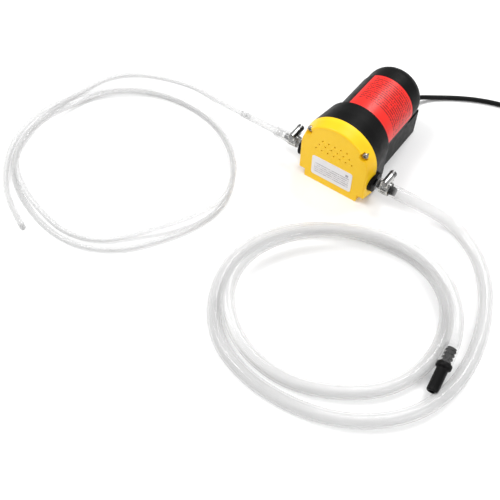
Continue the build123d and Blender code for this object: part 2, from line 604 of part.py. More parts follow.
def make_brush_spring(side):
    """Coil spring between a brush and the end of its box."""
    start = COMMUTATOR_RADIUS + BRUSH_GAP + BRUSH_LENGTH + 0.4
    room = BRUSH_BOX_END - 1.4 - start
    path = Helix(pitch=room / 4, height=room, radius=1.6)
    wire = sweep(Plane(path @ 0, z_dir=path % 0) * Circle(0.25), path=path, is_frenet=True)
    return Pos(side * start, BRUSH_Y, AXIS_Z) * Rot(0, side * 90, 0) * wire


def make_tie_screw(z):
    """Long screw through the motor into the pump body."""
    front = PUMP_REAR_Y - 5.5
    screw = along_y(TIE_SCREW_RADIUS, front, BELL_REAR_Y, 0, z)
    return screw + along_y(2.6, BELL_REAR_Y, BELL_REAR_Y + 2, 0, z)


# ---------------------------------------------------------------- switch and gland
ROCKER_PIVOT_Y = REAR_Y + 0.6
ROCKER_HALF_WIDTH = SWITCH_HEIGHT / 2 - 2 - ROCKER_CLEARANCE


def make_switch_housing():
    """Snap-in frame of the rocker switch."""
    frame = block(-SWITCH_WIDTH / 2, SWITCH_WIDTH / 2, REAR_Y, REAR_Y + SWITCH_FLANGE,
                  SWITCH_Z - SWITCH_HEIGHT / 2, SWITCH_Z + SWITCH_HEIGHT / 2)
    frame = fillet(frame.edges().filter_by(Axis.Y), 0.8)
    frame += block(-SWITCH_WIDTH / 2 + 1.1, SWITCH_WIDTH / 2 - 1.1, REAR_Y - SWITCH_BODY_DEPTH, REAR_Y,
                   SWITCH_Z - SWITCH_HEIGHT / 2 + 1.1, SWITCH_Z + SWITCH_HEIGHT / 2 - 1.1)
    frame -= block(-SWITCH_WIDTH / 2 + 2, SWITCH_WIDTH / 2 - 2, REAR_Y - 4, REAR_Y + SWITCH_FLANGE + 1,
                   SWITCH_Z - SWITCH_HEIGHT / 2 + 2, SWITCH_Z + SWITCH_HEIGHT / 2 - 2)
    reach = ROCKER_HALF_WIDTH + ROCKER_PIN_REACH + ROCKER_PIN_FIT
    sockets = Cylinder(ROCKER_PIN + ROCKER_PIN_FIT, 2 * reach)
    frame -= Pos(0, ROCKER_PIVOT_Y, SWITCH_Z) * sockets
    return frame


def make_rocker():
    """Rocker with two faces that meet in a shallow valley, tilted to its off side."""
    half_length = SWITCH_WIDTH / 2 - 2 - ROCKER_CLEARANCE
    outline = make_face(Polyline((-half_length, -1.2), (half_length, -1.2), (half_length, 2.4), (0, 1.5),
                                 (-half_length, 2.4), close=True))
    rocker = extrude(outline, amount=ROCKER_HALF_WIDTH, both=True)
    rocker += Cylinder(ROCKER_PIN, 2 * (ROCKER_HALF_WIDTH + ROCKER_PIN_REACH))
    rocker = Rot(0, 0, -ROCKER_TILT) * rocker
    return Pos(0, ROCKER_PIVOT_Y, SWITCH_Z) * rocker


def make_cable_gland():
    """Strain relief: a flange on the plinth and a tapered sleeve for the cord."""
    flange = along_y(GLAND_FLANGE_RADIUS, BASE_REAR_Y, BASE_REAR_Y + 1.5, GLAND_X, GLAND_Z)
    taper = Pos(GLAND_X, BASE_REAR_Y + (GLAND_LENGTH + 1.5) / 2, GLAND_Z) * Rot(-90, 0, 0) * Cone(
        3.5, CORD_RADIUS + 0.5, GLAND_LENGTH - 1.5)
    return flange + taper


# ---------------------------------------------------------------- hoses
DISCHARGE_ROUTE = [
    (41.5, -45.3, 23), (64, -45.3, 23), (86, -40, 18), (109, -34, 10), (132, -41, 6.2), (153, -57, 6),
    (171, -82, 6), (184, -114, 6), (190, -148, 6), (188, -182, 6), (175, -214, 6), (150, -240, 6),
    (118, -257, 6), (83, -264, 6), (49, -263, 6), (15, -251, 6), (-10, -222, 6), (-22, -186, 6),
    (-15, -148, 6), (8, -117, 6), (42, -95, 6), (82, -84, 6), (120, -88, 6), (149, -108, 6),
    (163, -141, 6), (163, -175, 6), (149, -208, 6), (121, -232, 6), (88, -247, 6), (57, -249, 7),
    (27, -242, 12), (0, -219, 17), (-11, -185, 17.5), (0, -148, 18), (27, -116, 18.5), (63, -94, 19),
    (102, -87, 19), (137, -97, 18.5), (160, -120, 18), (172, -147, 16.5), (174, -166, 13),
]
REDUCER_ROUTE = [(-65, -45.3, 23), (-88, -45.3, 23), (-116, -38.1, 14)]
SUCTION_ROUTE = [
    (-107.6, -40.26, 16.7), (-130, -34.5, 9.5), (-158, -29, 4), (-190, -26, 2.6), (-222, -33, 2.6),
    (-252, -46, 2.6), (-272, -66, 2.6), (-280, -98, 2.6), (-284, -134, 2.6), (-284, -168, 2.6),
    (-271, -204, 2.6), (-244, -231, 2.6), (-208, -246, 2.6), (-172, -253, 2.6), (-138, -249, 2.6),
    (-107, -230, 2.6), (-86, -201, 2.6), (-70, -170, 2.6), (-65, -138, 2.6), (-76, -107, 2.6),
    (-98, -80, 2.6), (-131, -60, 2.6), (-168, -52, 2.6), (-206, -55, 2.6), (-240, -69, 2.6),
    (-263, -92, 2.6), (-271, -121, 4), (-276, -152, 8.4), (-275, -184, 8.4), (-259, -214, 8.2),
    (-231, -232, 7), (-198, -241, 3.4), (-164, -246, 2.6), (-131, -236, 2.6), (-108, -211, 4),
    (-88, -186, 8.2), (-72, -157, 8.4), (-67, -127, 8.4), (-81, -98, 8.4), (-107, -73, 8.4),
    (-142, -57, 8.4), (-180, -53, 8.4), (-216, -60, 8.4), (-246, -79, 8.4), (-270, -107, 8.7),
    (-285, -139, 8.4), (-289, -172, 6), (-279, -204, 3), (-254, -233, 2.6), (-225, -253, 2.6),
    (-195, -264, 2.6),
]
CORD_ROUTE = [
    (GLAND_X, BASE_REAR_Y + GLAND_LENGTH, GLAND_Z), (7.6, 88, 8.6), (11.4, 97.5, 6), (18.5, 106, 3.4),
    (28.5, 114.5, 2.4), (41, 123, 2.4), (57, 132, 2.4), (76, 139.5, 2.4), (99, 144.5, 2.4), (124, 148.5, 2.4),
    (145, 156.5, 2.7), (161, 157.9, 3.1),
]
TAIL_ROUTE = [(190, 128, 12.2), (190.3, 110, 9.4), (191.2, 95, 4.6), (191.4, 79, 3)]
RED_ROUTE = [
    (189.8, 65, 3), (189, 55, 1.9), (187, 45.5, 1.6), (185.2, 37, 2.4), (184.5, 30, 4.2), (184.2, 23, 5),
]
BLACK_ROUTE = [
    (193, 65, 3), (194.8, 55, 1.9), (199, 46, 1.6), (204.8, 38.5, 2.2), (210, 31, 4.2), (212.2, 23, 5),
]
CLIP_PLACES = ((176, -3), (204, -3))   # pivots of the red and of the black clip


# ---------------------------------------------------------------- hose clamps
def worm_z(hose_radius):
    """Height of a clamp's worm screw above the hose that it closes on."""
    return PORT_Z + hose_radius + CLAMP_BAND + WORM_RISE + WORM_RADIUS + CLAMP_GAP


def make_clamp_band(side, hose_radius):
    """Slotted band round a hose, with the worm's housing on top."""
    x0, x1 = side * CLAMP_X - CLAMP_WIDTH / 2, side * CLAMP_X + CLAMP_WIDTH / 2
    screw_z = worm_z(hose_radius)
    shell = WORM_RADIUS + CLAMP_GAP + WORM_HOUSING_WALL
    band = along_x(hose_radius + CLAMP_BAND, x0, x1, PORT_Y, PORT_Z)
    band += along_y(shell, PORT_Y - WORM_LENGTH / 2, PORT_Y + WORM_LENGTH / 2, side * CLAMP_X, screw_z)
    band += block(side * CLAMP_X - shell, side * CLAMP_X + shell, PORT_Y - WORM_LENGTH / 2,
                  PORT_Y + WORM_LENGTH / 2, PORT_Z + hose_radius + CLAMP_BAND / 2, screw_z)
    band -= along_x(hose_radius, x0 - 1, x1 + 1, PORT_Y, PORT_Z)
    band -= along_y(WORM_RADIUS + CLAMP_GAP, PORT_Y - WORM_LENGTH, PORT_Y + WORM_LENGTH,
                    side * CLAMP_X, screw_z)
    pitch = degrees(CLAMP_SLOT_SPACING / (hose_radius + CLAMP_BAND))
    slots = int(CLAMP_SLOT_ARC / pitch)
    for slot in range(slots):
        turn = 180 + (slot - (slots - 1) / 2) * pitch
        cut = block(side * CLAMP_X - 2.6, side * CLAMP_X + 2.6, -0.45, 0.45, hose_radius - 1, hose_radius + 2)
        band -= Pos(0, PORT_Y, PORT_Z) * Rot(turn, 0, 0) * cut
    return band


def make_clamp_screw(side, hose_radius):
    """Worm screw with a slotted head towards the rear."""
    x, z = side * CLAMP_X, worm_z(hose_radius)
    head_y = PORT_Y + WORM_LENGTH / 2 + 0.4
    screw = along_y(WORM_RADIUS, PORT_Y - WORM_LENGTH / 2 - 0.6, head_y, x, z)
    head = along_y(WORM_HEAD_RADIUS, head_y, head_y + WORM_HEAD_LENGTH, x, z)
    head = fillet(head.edges(), 0.5)
    head -= block(x - 0.6, x + 0.6, head_y + WORM_HEAD_LENGTH - 1.4, head_y + WORM_HEAD_LENGTH + 1,
                  z - WORM_HEAD_RADIUS - 1, z + WORM_HEAD_RADIUS + 1)
    return screw + head


# ---------------------------------------------------------------- hose end, lead and clips
def make_nozzle():
    """Tubular hose end: a barbed tail in the hose, a collar against it and a plain spout."""
    end, before = Vector(*DISCHARGE_ROUTE[-1]), Vector(*DISCHARGE_ROUTE[-2])
    spout_plane = Plane(end, z_dir=end - before)
    def turned(bottom, top, start, length):
        form = Cylinder(top, length) if top == bottom else Cone(bottom, top, length)
        return spout_plane * Pos(0, 0, start + length / 2) * form
    shape = turned(NOZZLE_COLLAR, NOZZLE_COLLAR, 0, NOZZLE_COLLAR_LENGTH)
    shape += turned(NOZZLE_RADIUS, NOZZLE_RADIUS - 0.2, NOZZLE_COLLAR_LENGTH,
                    NOZZLE_LENGTH - NOZZLE_COLLAR_LENGTH)
    shape += turned(NOZZLE_STEM, NOZZLE_STEM, -NOZZLE_TAIL, NOZZLE_TAIL)
    pitch = NOZZLE_TAIL / 4
    for ring in range(4):
        shape += turned(NOZZLE_BARB, NOZZLE_STEM, -pitch * (ring + 0.8), 0.8)
        shape += turned(NOZZLE_STEM, NOZZLE_BARB, -pitch * (ring + 0.8) - 1.6, 1.6)
    shape -= turned(NOZZLE_BORE, NOZZLE_BORE, -NOZZLE_TAIL - 4, NOZZLE_LENGTH + NOZZLE_TAIL + 8)
    return shape


def make_coil():
    """The coiled part of the power lead as one ring."""
    half_width = COIL_COLUMNS * CORD_RADIUS + 0.05
    height = COIL_LAYERS * 2 * CORD_RADIUS + 0.2
    outline = Pos(COIL_RADIUS, height / 2) * RectangleRounded(2 * half_width, height, CORD_RADIUS - 0.2)
    return Pos(COIL_X, COIL_Y, 0) * revolve(Plane.XZ * outline, Axis.Z)


def make_coil_tie():
    """Strap over the coiled lead, before the coil is taken out of it."""
    reach = COIL_COLUMNS * CORD_RADIUS + TIE_THICKNESS
    top = COIL_LAYERS * 2 * CORD_RADIUS + 0.2 + TIE_THICKNESS
    strap = block(COIL_X - TIE_WIDTH / 2, COIL_X + TIE_WIDTH / 2, COIL_Y - COIL_RADIUS - reach,
                  COIL_Y - COIL_RADIUS + reach, 0, top)
    return fillet(strap.edges().filter_by(Axis.X).group_by(Axis.Z)[-1], 2.0)


def jaw_sheet(side, z0, z1):
    """Side plate of one clip jaw, from its tip past the pivot to its handle."""
    line = [(0.9, -30), (3.9, -13), (3.4, 0), (7.4, 21)]
    outline = line + [(x + CLIP_SHEET, y) for x, y in reversed(line)]
    sheet = extrude(Pos(0, 0, z0) * make_face(Polyline(*[(side * x, y) for x, y in outline], close=True)),
                    amount=z1 - z0, dir=(0, 0, 1))
    for tooth in range(5):
        y = CLIP_TOOTH_PITCH * tooth - 29.4 + (CLIP_TOOTH_PITCH / 2 if side > 0 else 0)
        base = 0.8 + (y + 30) * 0.176
        corners = ((base + 0.6, y - 0.6), (base - 0.7, y), (base + 0.6, y + 0.6))
        prong = make_face(Polyline(*[(side * x, y) for x, y in corners], close=True))
        sheet += extrude(Pos(0, 0, z0) * prong, amount=z1 - z0, dir=(0, 0, 1))
    return sheet


def clip_ears(side, heights):
    """Ears that carry a jaw on the pivot, one at each height."""
    ears = []
    for z in heights:
        ear = Pos(0, 0, z + CLIP_EAR / 2) * Cylinder(3, CLIP_EAR)
        ears.append(ear + block(0, side * 4.2, -2.4, 2.4, z, z + CLIP_EAR))
    return ears


def make_fixed_jaw():
    """Outer jaw of a clip, with the barrel that holds its wire."""
    jaw = jaw_sheet(1, 0.2, 9.8)
    for ear in clip_ears(1, (0.2, 8.9)):
        jaw += ear
    jaw += along_y(2.3, 18, 26, 8.2, 5)
    jaw -= Cylinder(CLIP_PIN, 40)
    return jaw


def make_moving_jaw():
    """Inner jaw of a clip, which turns on the pivot."""
    jaw = jaw_sheet(-1, 1.4, 8.6)
    for ear in clip_ears(-1, (1.4, 7.7)):
        jaw += ear
    jaw -= Cylinder(CLIP_PIN + RUNNING_FIT, 40)
    return jaw


def make_clip_spring():
    """Torsion spring round a clip's pivot."""
    path = Helix(pitch=1.2, height=4.2, radius=CLIP_PIN + 0.45)
    wire = sweep(Plane(path @ 0, z_dir=path % 0) * Circle(0.4), path=path, is_frenet=True)
    return Pos(0, 0, 2.9) * wire


def main_bodies():
    """Write every node."""
    save("front_cover", make_front_cover())
    save("motor_housing", make_motor_housing())
    save("rear_cap", make_rear_cap())
    save("warning_label", make_warning_label())
    save("rating_label", rounded_plate(RATING_HALF_WIDTH, RATING_LOW_Z, RATING_HIGH_Z, RATING_CORNER,
                                       FACE_Y - LABEL_THICKNESS, FACE_Y))
    save("cover_screws", *both_sides(lambda s: make_screw(
        s * COVER_SCREW_X, COVER_SCREW_Z, FACE_Y + COVER_SCREW_DEPTH - SCREW_HEAD_HEIGHT,
        COVER_SCREW_LENGTH, SCREW_HEAD_RADIUS, SCREW_HEAD_HEIGHT, SCREW_SHANK_RADIUS)))
    save("pump_body", make_pump_body())
    save("wear_plate", make_wear_plate())
    grip = PUMP_REAR_Y + PUMP_SCREW_GRIP - 0.5 - PLATE_Y - SCREW_HEAD_HEIGHT
    save("pump_screws", *[make_screw(s * x, z, PLATE_Y, grip, PUMP_SCREW_HEAD, SCREW_HEAD_HEIGHT,
                                     PUMP_SCREW_SHANK) for x, z in PUMP_SCREWS for s in (1, -1)])
    save("pump_seal", seal_ring(SEAL_WIDTH, 0))
    save("drive_gear", make_gear(AXIS_Z, 0, SHAFT_RADIUS))
    save("idler_gear", make_gear(IDLER_Z, 180 / GEAR_TEETH, SHAFT_RADIUS + RUNNING_FIT))
    save("idler_pin", along_y(SHAFT_RADIUS, PLATE_Y + 1.2, CHAMBER_REAR_Y + 4, 0, IDLER_Z))
    save("shaft_bush", along_y(BUSH_RADIUS, CHAMBER_REAR_Y, CHAMBER_REAR_Y + 5.5, 0, AXIS_Z)
         - along_y(SHAFT_RADIUS + RUNNING_FIT, CHAMBER_REAR_Y - 1, PUMP_REAR_Y, 0, AXIS_Z))
    save("shaft_seal", along_y(BUSH_RADIUS, CHAMBER_REAR_Y + 5.5, PUMP_REAR_Y, 0, AXIS_Z)
         - along_y(SHAFT_RADIUS + RUNNING_FIT, CHAMBER_REAR_Y, PUMP_REAR_Y + 1, 0, AXIS_Z))
    save("motor_can", make_motor_can())
    save("field_magnets", *[ring_sector(MAGNET_INNER, MAGNET_OUTER, MAGNET_HALF_ANGLE, CAN_Y + 8,
                                        CAN_Y + 8 + MAGNET_LENGTH, middle) for middle in (0, 180)])
    save("rotor_shaft", along_y(SHAFT_RADIUS, PLATE_Y + 1.3, BELL_REAR_Y - 0.3, 0, AXIS_Z))
    save("armature_core", make_armature_core())
    save("armature_winding", make_winding())
    save("commutator", make_commutator())
    save("front_bearing", make_bearing(CAN_Y))
    save("rear_bearing", make_bearing(BELL_REAR_Y - BEARING_WIDTH))
    save("end_bell", make_end_bell())
    save("brushes", *both_sides(make_brush))
    save("brush_springs", *both_sides(make_brush_spring))
    save("tie_screws", make_tie_screw(AXIS_Z - TIE_SCREW_CIRCLE), make_tie_screw(AXIS_Z + TIE_SCREW_CIRCLE))
    save("switch_housing", make_switch_housing())
    save("switch_rocker", make_rocker())
    save("cable_gland", make_cable_gland())
    save("discharge_hose", tube("discharge_hose", DISCHARGE_ROUTE, OUT_HOSE_RADIUS, OUT_HOSE_BORE))
    save("inlet_sleeve", along_x(IN_SLEEVE_RADIUS, -HOSE_START, -SLEEVE_END, PORT_Y, PORT_Z)
         - along_x(IN_SLEEVE_BORE, 1 - HOSE_START, -SLEEVE_END - 1, PORT_Y, PORT_Z))
    save("inlet_reducer", tube("inlet_reducer", REDUCER_ROUTE, REDUCER_RADIUS, REDUCER_BORE))
    save("suction_hose", tube("suction_hose", SUCTION_ROUTE, IN_HOSE_RADIUS, IN_HOSE_BORE))
    for name, side, radius in (("outlet", 1, OUT_HOSE_RADIUS), ("inlet", -1, IN_SLEEVE_RADIUS)):
        save(f"{name}_clamp_band", make_clamp_band(side, radius))
        save(f"{name}_clamp_screw", make_clamp_screw(side, radius))
    save("hose_nozzle", make_nozzle())
    coil = make_coil()
    save("cord_coil", coil)
    save("coil_tie", make_coil_tie() - coil)
    save("power_cord", tube("power_cord", CORD_ROUTE, CORD_RADIUS) - coil)
    save("cord_tail", tube("cord_tail", TAIL_ROUTE, CORD_RADIUS) - coil)
    end_x, end_y, end_z = TAIL_ROUTE[-1]
    save("lead_sleeve", along_y(LEAD_SLEEVE_RADIUS, end_y - LEAD_SLEEVE_LENGTH, end_y, end_x, end_z))
    save("red_lead", tube("red_lead", RED_ROUTE, LEAD_RADIUS))
    save("black_lead", tube("black_lead", BLACK_ROUTE, LEAD_RADIUS))
    for name, place in zip(("red", "black"), CLIP_PLACES):
        save(f"{name}_clip_jaw", Pos(*place, 0) * make_fixed_jaw())
        save(f"{name}_clip_lever", Pos(*place, 0) * make_moving_jaw())
    save("clip_pivots", *[Pos(*place, 5) * Cylinder(CLIP_PIN, 10) for place in CLIP_PLACES])
    save("clip_springs", *[Pos(*place, 0) * make_clip_spring() for place in CLIP_PLACES])


main_bodies()
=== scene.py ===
"""Looks of the fluid transfer pump: finishes, hoses, lead, printed labels, small hardware and the studio."""

import json
import logging
import math
from dataclasses import dataclass
from enum import Enum
from typing import Callable, Sequence

import bpy
import numpy as np
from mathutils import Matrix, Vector

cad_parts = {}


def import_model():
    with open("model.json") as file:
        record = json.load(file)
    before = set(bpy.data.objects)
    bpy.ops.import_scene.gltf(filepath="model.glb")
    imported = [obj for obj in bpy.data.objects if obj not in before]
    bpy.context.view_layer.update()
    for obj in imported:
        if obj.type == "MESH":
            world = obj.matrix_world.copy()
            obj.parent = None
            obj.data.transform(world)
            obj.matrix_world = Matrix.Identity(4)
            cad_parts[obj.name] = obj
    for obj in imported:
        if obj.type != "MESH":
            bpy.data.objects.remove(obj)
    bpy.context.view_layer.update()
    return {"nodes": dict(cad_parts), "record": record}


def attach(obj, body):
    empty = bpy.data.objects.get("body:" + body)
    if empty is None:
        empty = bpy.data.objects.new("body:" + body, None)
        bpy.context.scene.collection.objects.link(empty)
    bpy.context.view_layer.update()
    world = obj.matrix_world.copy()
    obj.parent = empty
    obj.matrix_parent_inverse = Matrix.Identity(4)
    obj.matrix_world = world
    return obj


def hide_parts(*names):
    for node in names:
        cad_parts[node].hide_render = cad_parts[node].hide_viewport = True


LOG = logging.getLogger("transfer_pump")
MM = 0.001

# ------------------------------------------------------------------ places, in millimetres
AXIS_Z = 40.0
CAMERA_PLACE = (201.2, -456.0, 508.9)
CAMERA_TILT = 35.81
CAMERA_TURN = 36.49
CAMERA_LENS = 51.06
CAMERA_SENSOR = 36.0
CORD_RADIUS = 2.4
WIRE_RADIUS = 1.4
DISCHARGE_RADII = (6.0, 4.5)      # outside and bore
REDUCER_RADII = (3.55, 2.65)
SUCTION_RADII = (2.6, 1.7)
COIL_CENTRE = (160.0, 128.0)
COIL_RADIUS = 27.5
COIL_LAYERS = 3
POINTS_PER_TURN = 14
LAYER_HEIGHT = 2.04 * CORD_RADIUS
LABEL_RADIUS = 29.3
# vinyl pulled tight on barbs: middle and reach of each stretch
GRIPPED_STRETCHES = (((173.2, -158.0, 14.6), 12.0), ((51.0, -45.3, 23.0), 12.0))

DISCHARGE_ROUTE = (
    (41.5, -45.3, 23), (64, -45.3, 23), (86, -40, 18), (109, -34, 10), (132, -41, 6.2), (153, -57, 6),
    (171, -82, 6), (184, -114, 6), (190, -148, 6), (188, -182, 6), (175, -214, 6), (150, -240, 6),
    (118, -257, 6), (83, -264, 6), (49, -263, 6), (15, -251, 6), (-10, -222, 6), (-22, -186, 6),
    (-15, -148, 6), (8, -117, 6), (42, -95, 6), (82, -84, 6), (120, -88, 6), (149, -108, 6),
    (163, -141, 6), (163, -175, 6), (149, -208, 6), (121, -232, 6), (88, -247, 6), (57, -249, 7),
    (27, -242, 12), (0, -219, 17), (-11, -185, 17.5), (0, -148, 18), (27, -116, 18.5), (63, -94, 19),
    (102, -87, 19), (137, -97, 18.5), (160, -120, 18), (172, -147, 16.5), (174, -166, 13),
)
REDUCER_ROUTE = ((-65, -45.3, 23), (-88, -45.3, 23), (-116, -38.1, 14))
SUCTION_ROUTE = (
    (-107.6, -40.26, 16.7), (-130, -34.5, 9.5), (-158, -29, 4), (-190, -26, 2.6), (-222, -33, 2.6),
    (-252, -46, 2.6), (-272, -66, 2.6), (-280, -98, 2.6), (-284, -134, 2.6), (-284, -168, 2.6),
    (-271, -204, 2.6), (-244, -231, 2.6), (-208, -246, 2.6), (-172, -253, 2.6), (-138, -249, 2.6),
    (-107, -230, 2.6), (-86, -201, 2.6), (-70, -170, 2.6), (-65, -138, 2.6), (-76, -107, 2.6),
    (-98, -80, 2.6), (-131, -60, 2.6), (-168, -52, 2.6), (-206, -55, 2.6), (-240, -69, 2.6),
    (-263, -92, 2.6), (-271, -121, 4), (-276, -152, 8.4), (-275, -184, 8.4), (-259, -214, 8.2),
    (-231, -232, 7), (-198, -241, 3.4), (-164, -246, 2.6), (-131, -236, 2.6), (-108, -211, 4),
    (-88, -186, 8.2), (-72, -157, 8.4), (-67, -127, 8.4), (-81, -98, 8.4), (-107, -73, 8.4),
    (-142, -57, 8.4), (-180, -53, 8.4), (-216, -60, 8.4), (-246, -79, 8.4), (-270, -107, 8.7),
    (-285, -139, 8.4), (-289, -172, 6), (-279, -204, 3), (-254, -233, 2.6), (-225, -253, 2.6),
    (-195, -264, 2.6),
)
CORD_ROUTE = (
    (7, 78.5, 9.5), (7.6, 88, 8.6), (11.4, 97.5, 6), (18.5, 106, 3.4), (28.5, 114.5, 2.4), (41, 123, 2.4),
    (57, 132, 2.4), (76, 139.5, 2.4), (99, 144.5, 2.4), (124, 148.5, 2.4), (145, 156.5, 2.7),
)
TAIL_ROUTE = ((190, 128, 12.2), (190.3, 110, 9.4), (191.2, 95, 4.6), (191.4, 79, 3))
RED_ROUTE = (
    (189.8, 65, 3), (189, 55, 1.9), (187, 45.5, 1.6), (185.2, 37, 2.4), (184.5, 30, 4.2), (184.2, 23, 5),
)
BLACK_ROUTE = (
    (193, 65, 3), (194.8, 55, 1.9), (199, 46, 1.6), (204.8, 38.5, 2.2), (210, 31, 4.2), (212.2, 23, 5),
)
CLIP_PLACES = {"red": (176.0, -3.0), "black": (204.0, -3.0)}

# ------------------------------------------------------------------ small pieces, in millimetres
SPOUT_TAIL = -14.0
SPOUT_BORE = 2.8
SPOUT_BARREL = 4.55
BARB_COUNT = 4
BARB_START = -13.6
BARB_PITCH = 3.4
BARB_WAIST = 3.2
BARB_CREST = 4.4
GLAND_PLACE = (7.0, 58.5, 9.5)
GLAND_RIB_START = 1.6
GLAND_RIB_PITCH = 2.3
GLAND_RIB_DEPTH = 0.22
HANDLE_FOOT = 4.0
HANDLE_RISE = 4.0
HANDLE_LENGTH = 21.0
GRIP_START = 5.5
GRIP_HALF_WIDTH = 1.75
GRIP_CENTRE_Z = 5.0
GRIP_POWER = 8
# half height and length of the fixed grip (1) and the moving grip (-1)
GRIP_SIZES = {1.0: (4.95, 12.3), -1.0: (4.4, 16.3)}
GRIP_ROWS = 18
GRIP_COLUMNS = 40

# ------------------------------------------------------------------ print and studio, in metres
DASHES_PER_METRE = 900.0
RATING_BLOCK = ((-0.0185, 0.0185), (0.0125, 0.0255))
RATING_MARK = ((0.0145, 0.0175), (0.0255, 0.0285))
WARNING_BLOCK = ((-0.0040, 0.0305), (-0.0110, 0.0440))
FLOOR_HALF_SIDE = 3.0
FLOOR_LINES = 9
FLOOR_Z = -0.0002
SURROUND_STRENGTH = 0.5
LIGHTS = (
    ("key", (-0.9, -0.5, 1.5), 0.8, 19.0),
    ("fill", (1.3, -0.4, 1.1), 0.7, 8.0),
    ("top", (0.1, 0.9, 1.5), 0.7, 16.0),
)

Colour = tuple[float, float, float]
Point = tuple[float, float, float]
Socket = bpy.types.NodeSocket
Value = Socket | float


# ------------------------------------------------------------------ finishes
class Surface(Enum):
    """Which shader recipe a finish uses."""

    MOULDED = "moulded"
    METAL = "metal"
    RUBBER = "rubber"
    CLEAR = "clear"
    WOUND = "wound"
    LAMINATED = "laminated"
    RATING = "rating"
    WARNING = "warning"
    FLOOR = "floor"


@dataclass(frozen=True)
class Finish:
    """How one kind of surface looks.

    Args:
        surface: the shader recipe.
        colour: linear base colour.
        roughness: middle of the roughness.
        grain: cycles of surface grain per metre.
        relief: strength of the grain's bump.
        second: colour of the marks, edges or print.
        gloss: specular level of a moulding or of rubber.
    """

    surface: Surface
    colour: Colour
    roughness: float = 0.35
    grain: float = 900.0
    relief: float = 0.05
    second: Colour = (0.02, 0.02, 0.02)
    gloss: float = 0.3


FINISHES: dict[str, Finish] = {
    "yellow_moulding": Finish(Surface.MOULDED, (0.90, 0.53, 0.006), 0.36, 1400.0, 0.04, (0.88, 0.45, 0.004)),
    "black_moulding": Finish(Surface.MOULDED, (0.0015, 0.0015, 0.0016), 0.46, 1300.0, 0.06,
                             (0.003, 0.003, 0.003), 0.10),
    "nylon": Finish(Surface.MOULDED, (0.03, 0.03, 0.032), 0.42, 1500.0, 0.08, (0.05, 0.05, 0.05)),
    "gear_nylon": Finish(Surface.MOULDED, (0.74, 0.72, 0.65), 0.40, 1500.0, 0.05, (0.62, 0.60, 0.52)),
    "carbon": Finish(Surface.RUBBER, (0.03, 0.03, 0.032), 0.55, 2600.0, 0.25),
    "magnet": Finish(Surface.RUBBER, (0.05, 0.05, 0.052), 0.60, 2200.0, 0.20),
    "seal_rubber": Finish(Surface.RUBBER, (0.015, 0.015, 0.015), 0.55, 1800.0, 0.12),
    "cord_black": Finish(Surface.RUBBER, (0.0015, 0.0015, 0.0015), 0.46, 1500.0, 0.08, gloss=0.14),
    "wire_red": Finish(Surface.RUBBER, (0.55, 0.014, 0.010), 0.40, 1500.0, 0.06),
    # screw_steel is darkened: partly the screws' own dark hard steel, partly painted shade of the recessed
    # pockets the cover screws sit in
    "screw_steel": Finish(Surface.METAL, (0.34, 0.32, 0.29), 0.34, 1600.0, 0.10),
    "clamp_steel": Finish(Surface.METAL, (0.52, 0.52, 0.51), 0.22, 1500.0, 0.08),
    "worm_steel": Finish(Surface.METAL, (0.20, 0.20, 0.20), 0.30, 1500.0, 0.10),
    "hard_steel": Finish(Surface.METAL, (0.62, 0.62, 0.63), 0.24, 1900.0, 0.08),
    "clip_steel": Finish(Surface.METAL, (0.66, 0.64, 0.60), 0.32, 1500.0, 0.12),
    "can_steel": Finish(Surface.METAL, (0.55, 0.55, 0.56), 0.38, 1100.0, 0.10),
    "bronze": Finish(Surface.METAL, (0.62, 0.38, 0.15), 0.40, 2400.0, 0.15),
    "copper": Finish(Surface.WOUND, (0.72, 0.26, 0.09), 0.30, 1400.0, 0.6),
    "lamination": Finish(Surface.LAMINATED, (0.34, 0.34, 0.35), 0.36, 1000.0, 0.5),
    "clear_vinyl": Finish(Surface.CLEAR, (0.75, 0.75, 0.75), 0.10, 22.0, 0.02, (0.48, 0.48, 0.48)),
    "label_print": Finish(Surface.RATING, (0.80, 0.79, 0.81), 0.36, 900.0, 0.02, (0.16, 0.15, 0.18)),
    "red_label": Finish(Surface.WARNING, (0.78, 0.020, 0.014), 0.38, 900.0, 0.02, (0.05, 0.004, 0.004)),
    "floor": Finish(Surface.FLOOR, (0.90, 0.90, 0.90), 0.55, 40.0, 0.01),
}


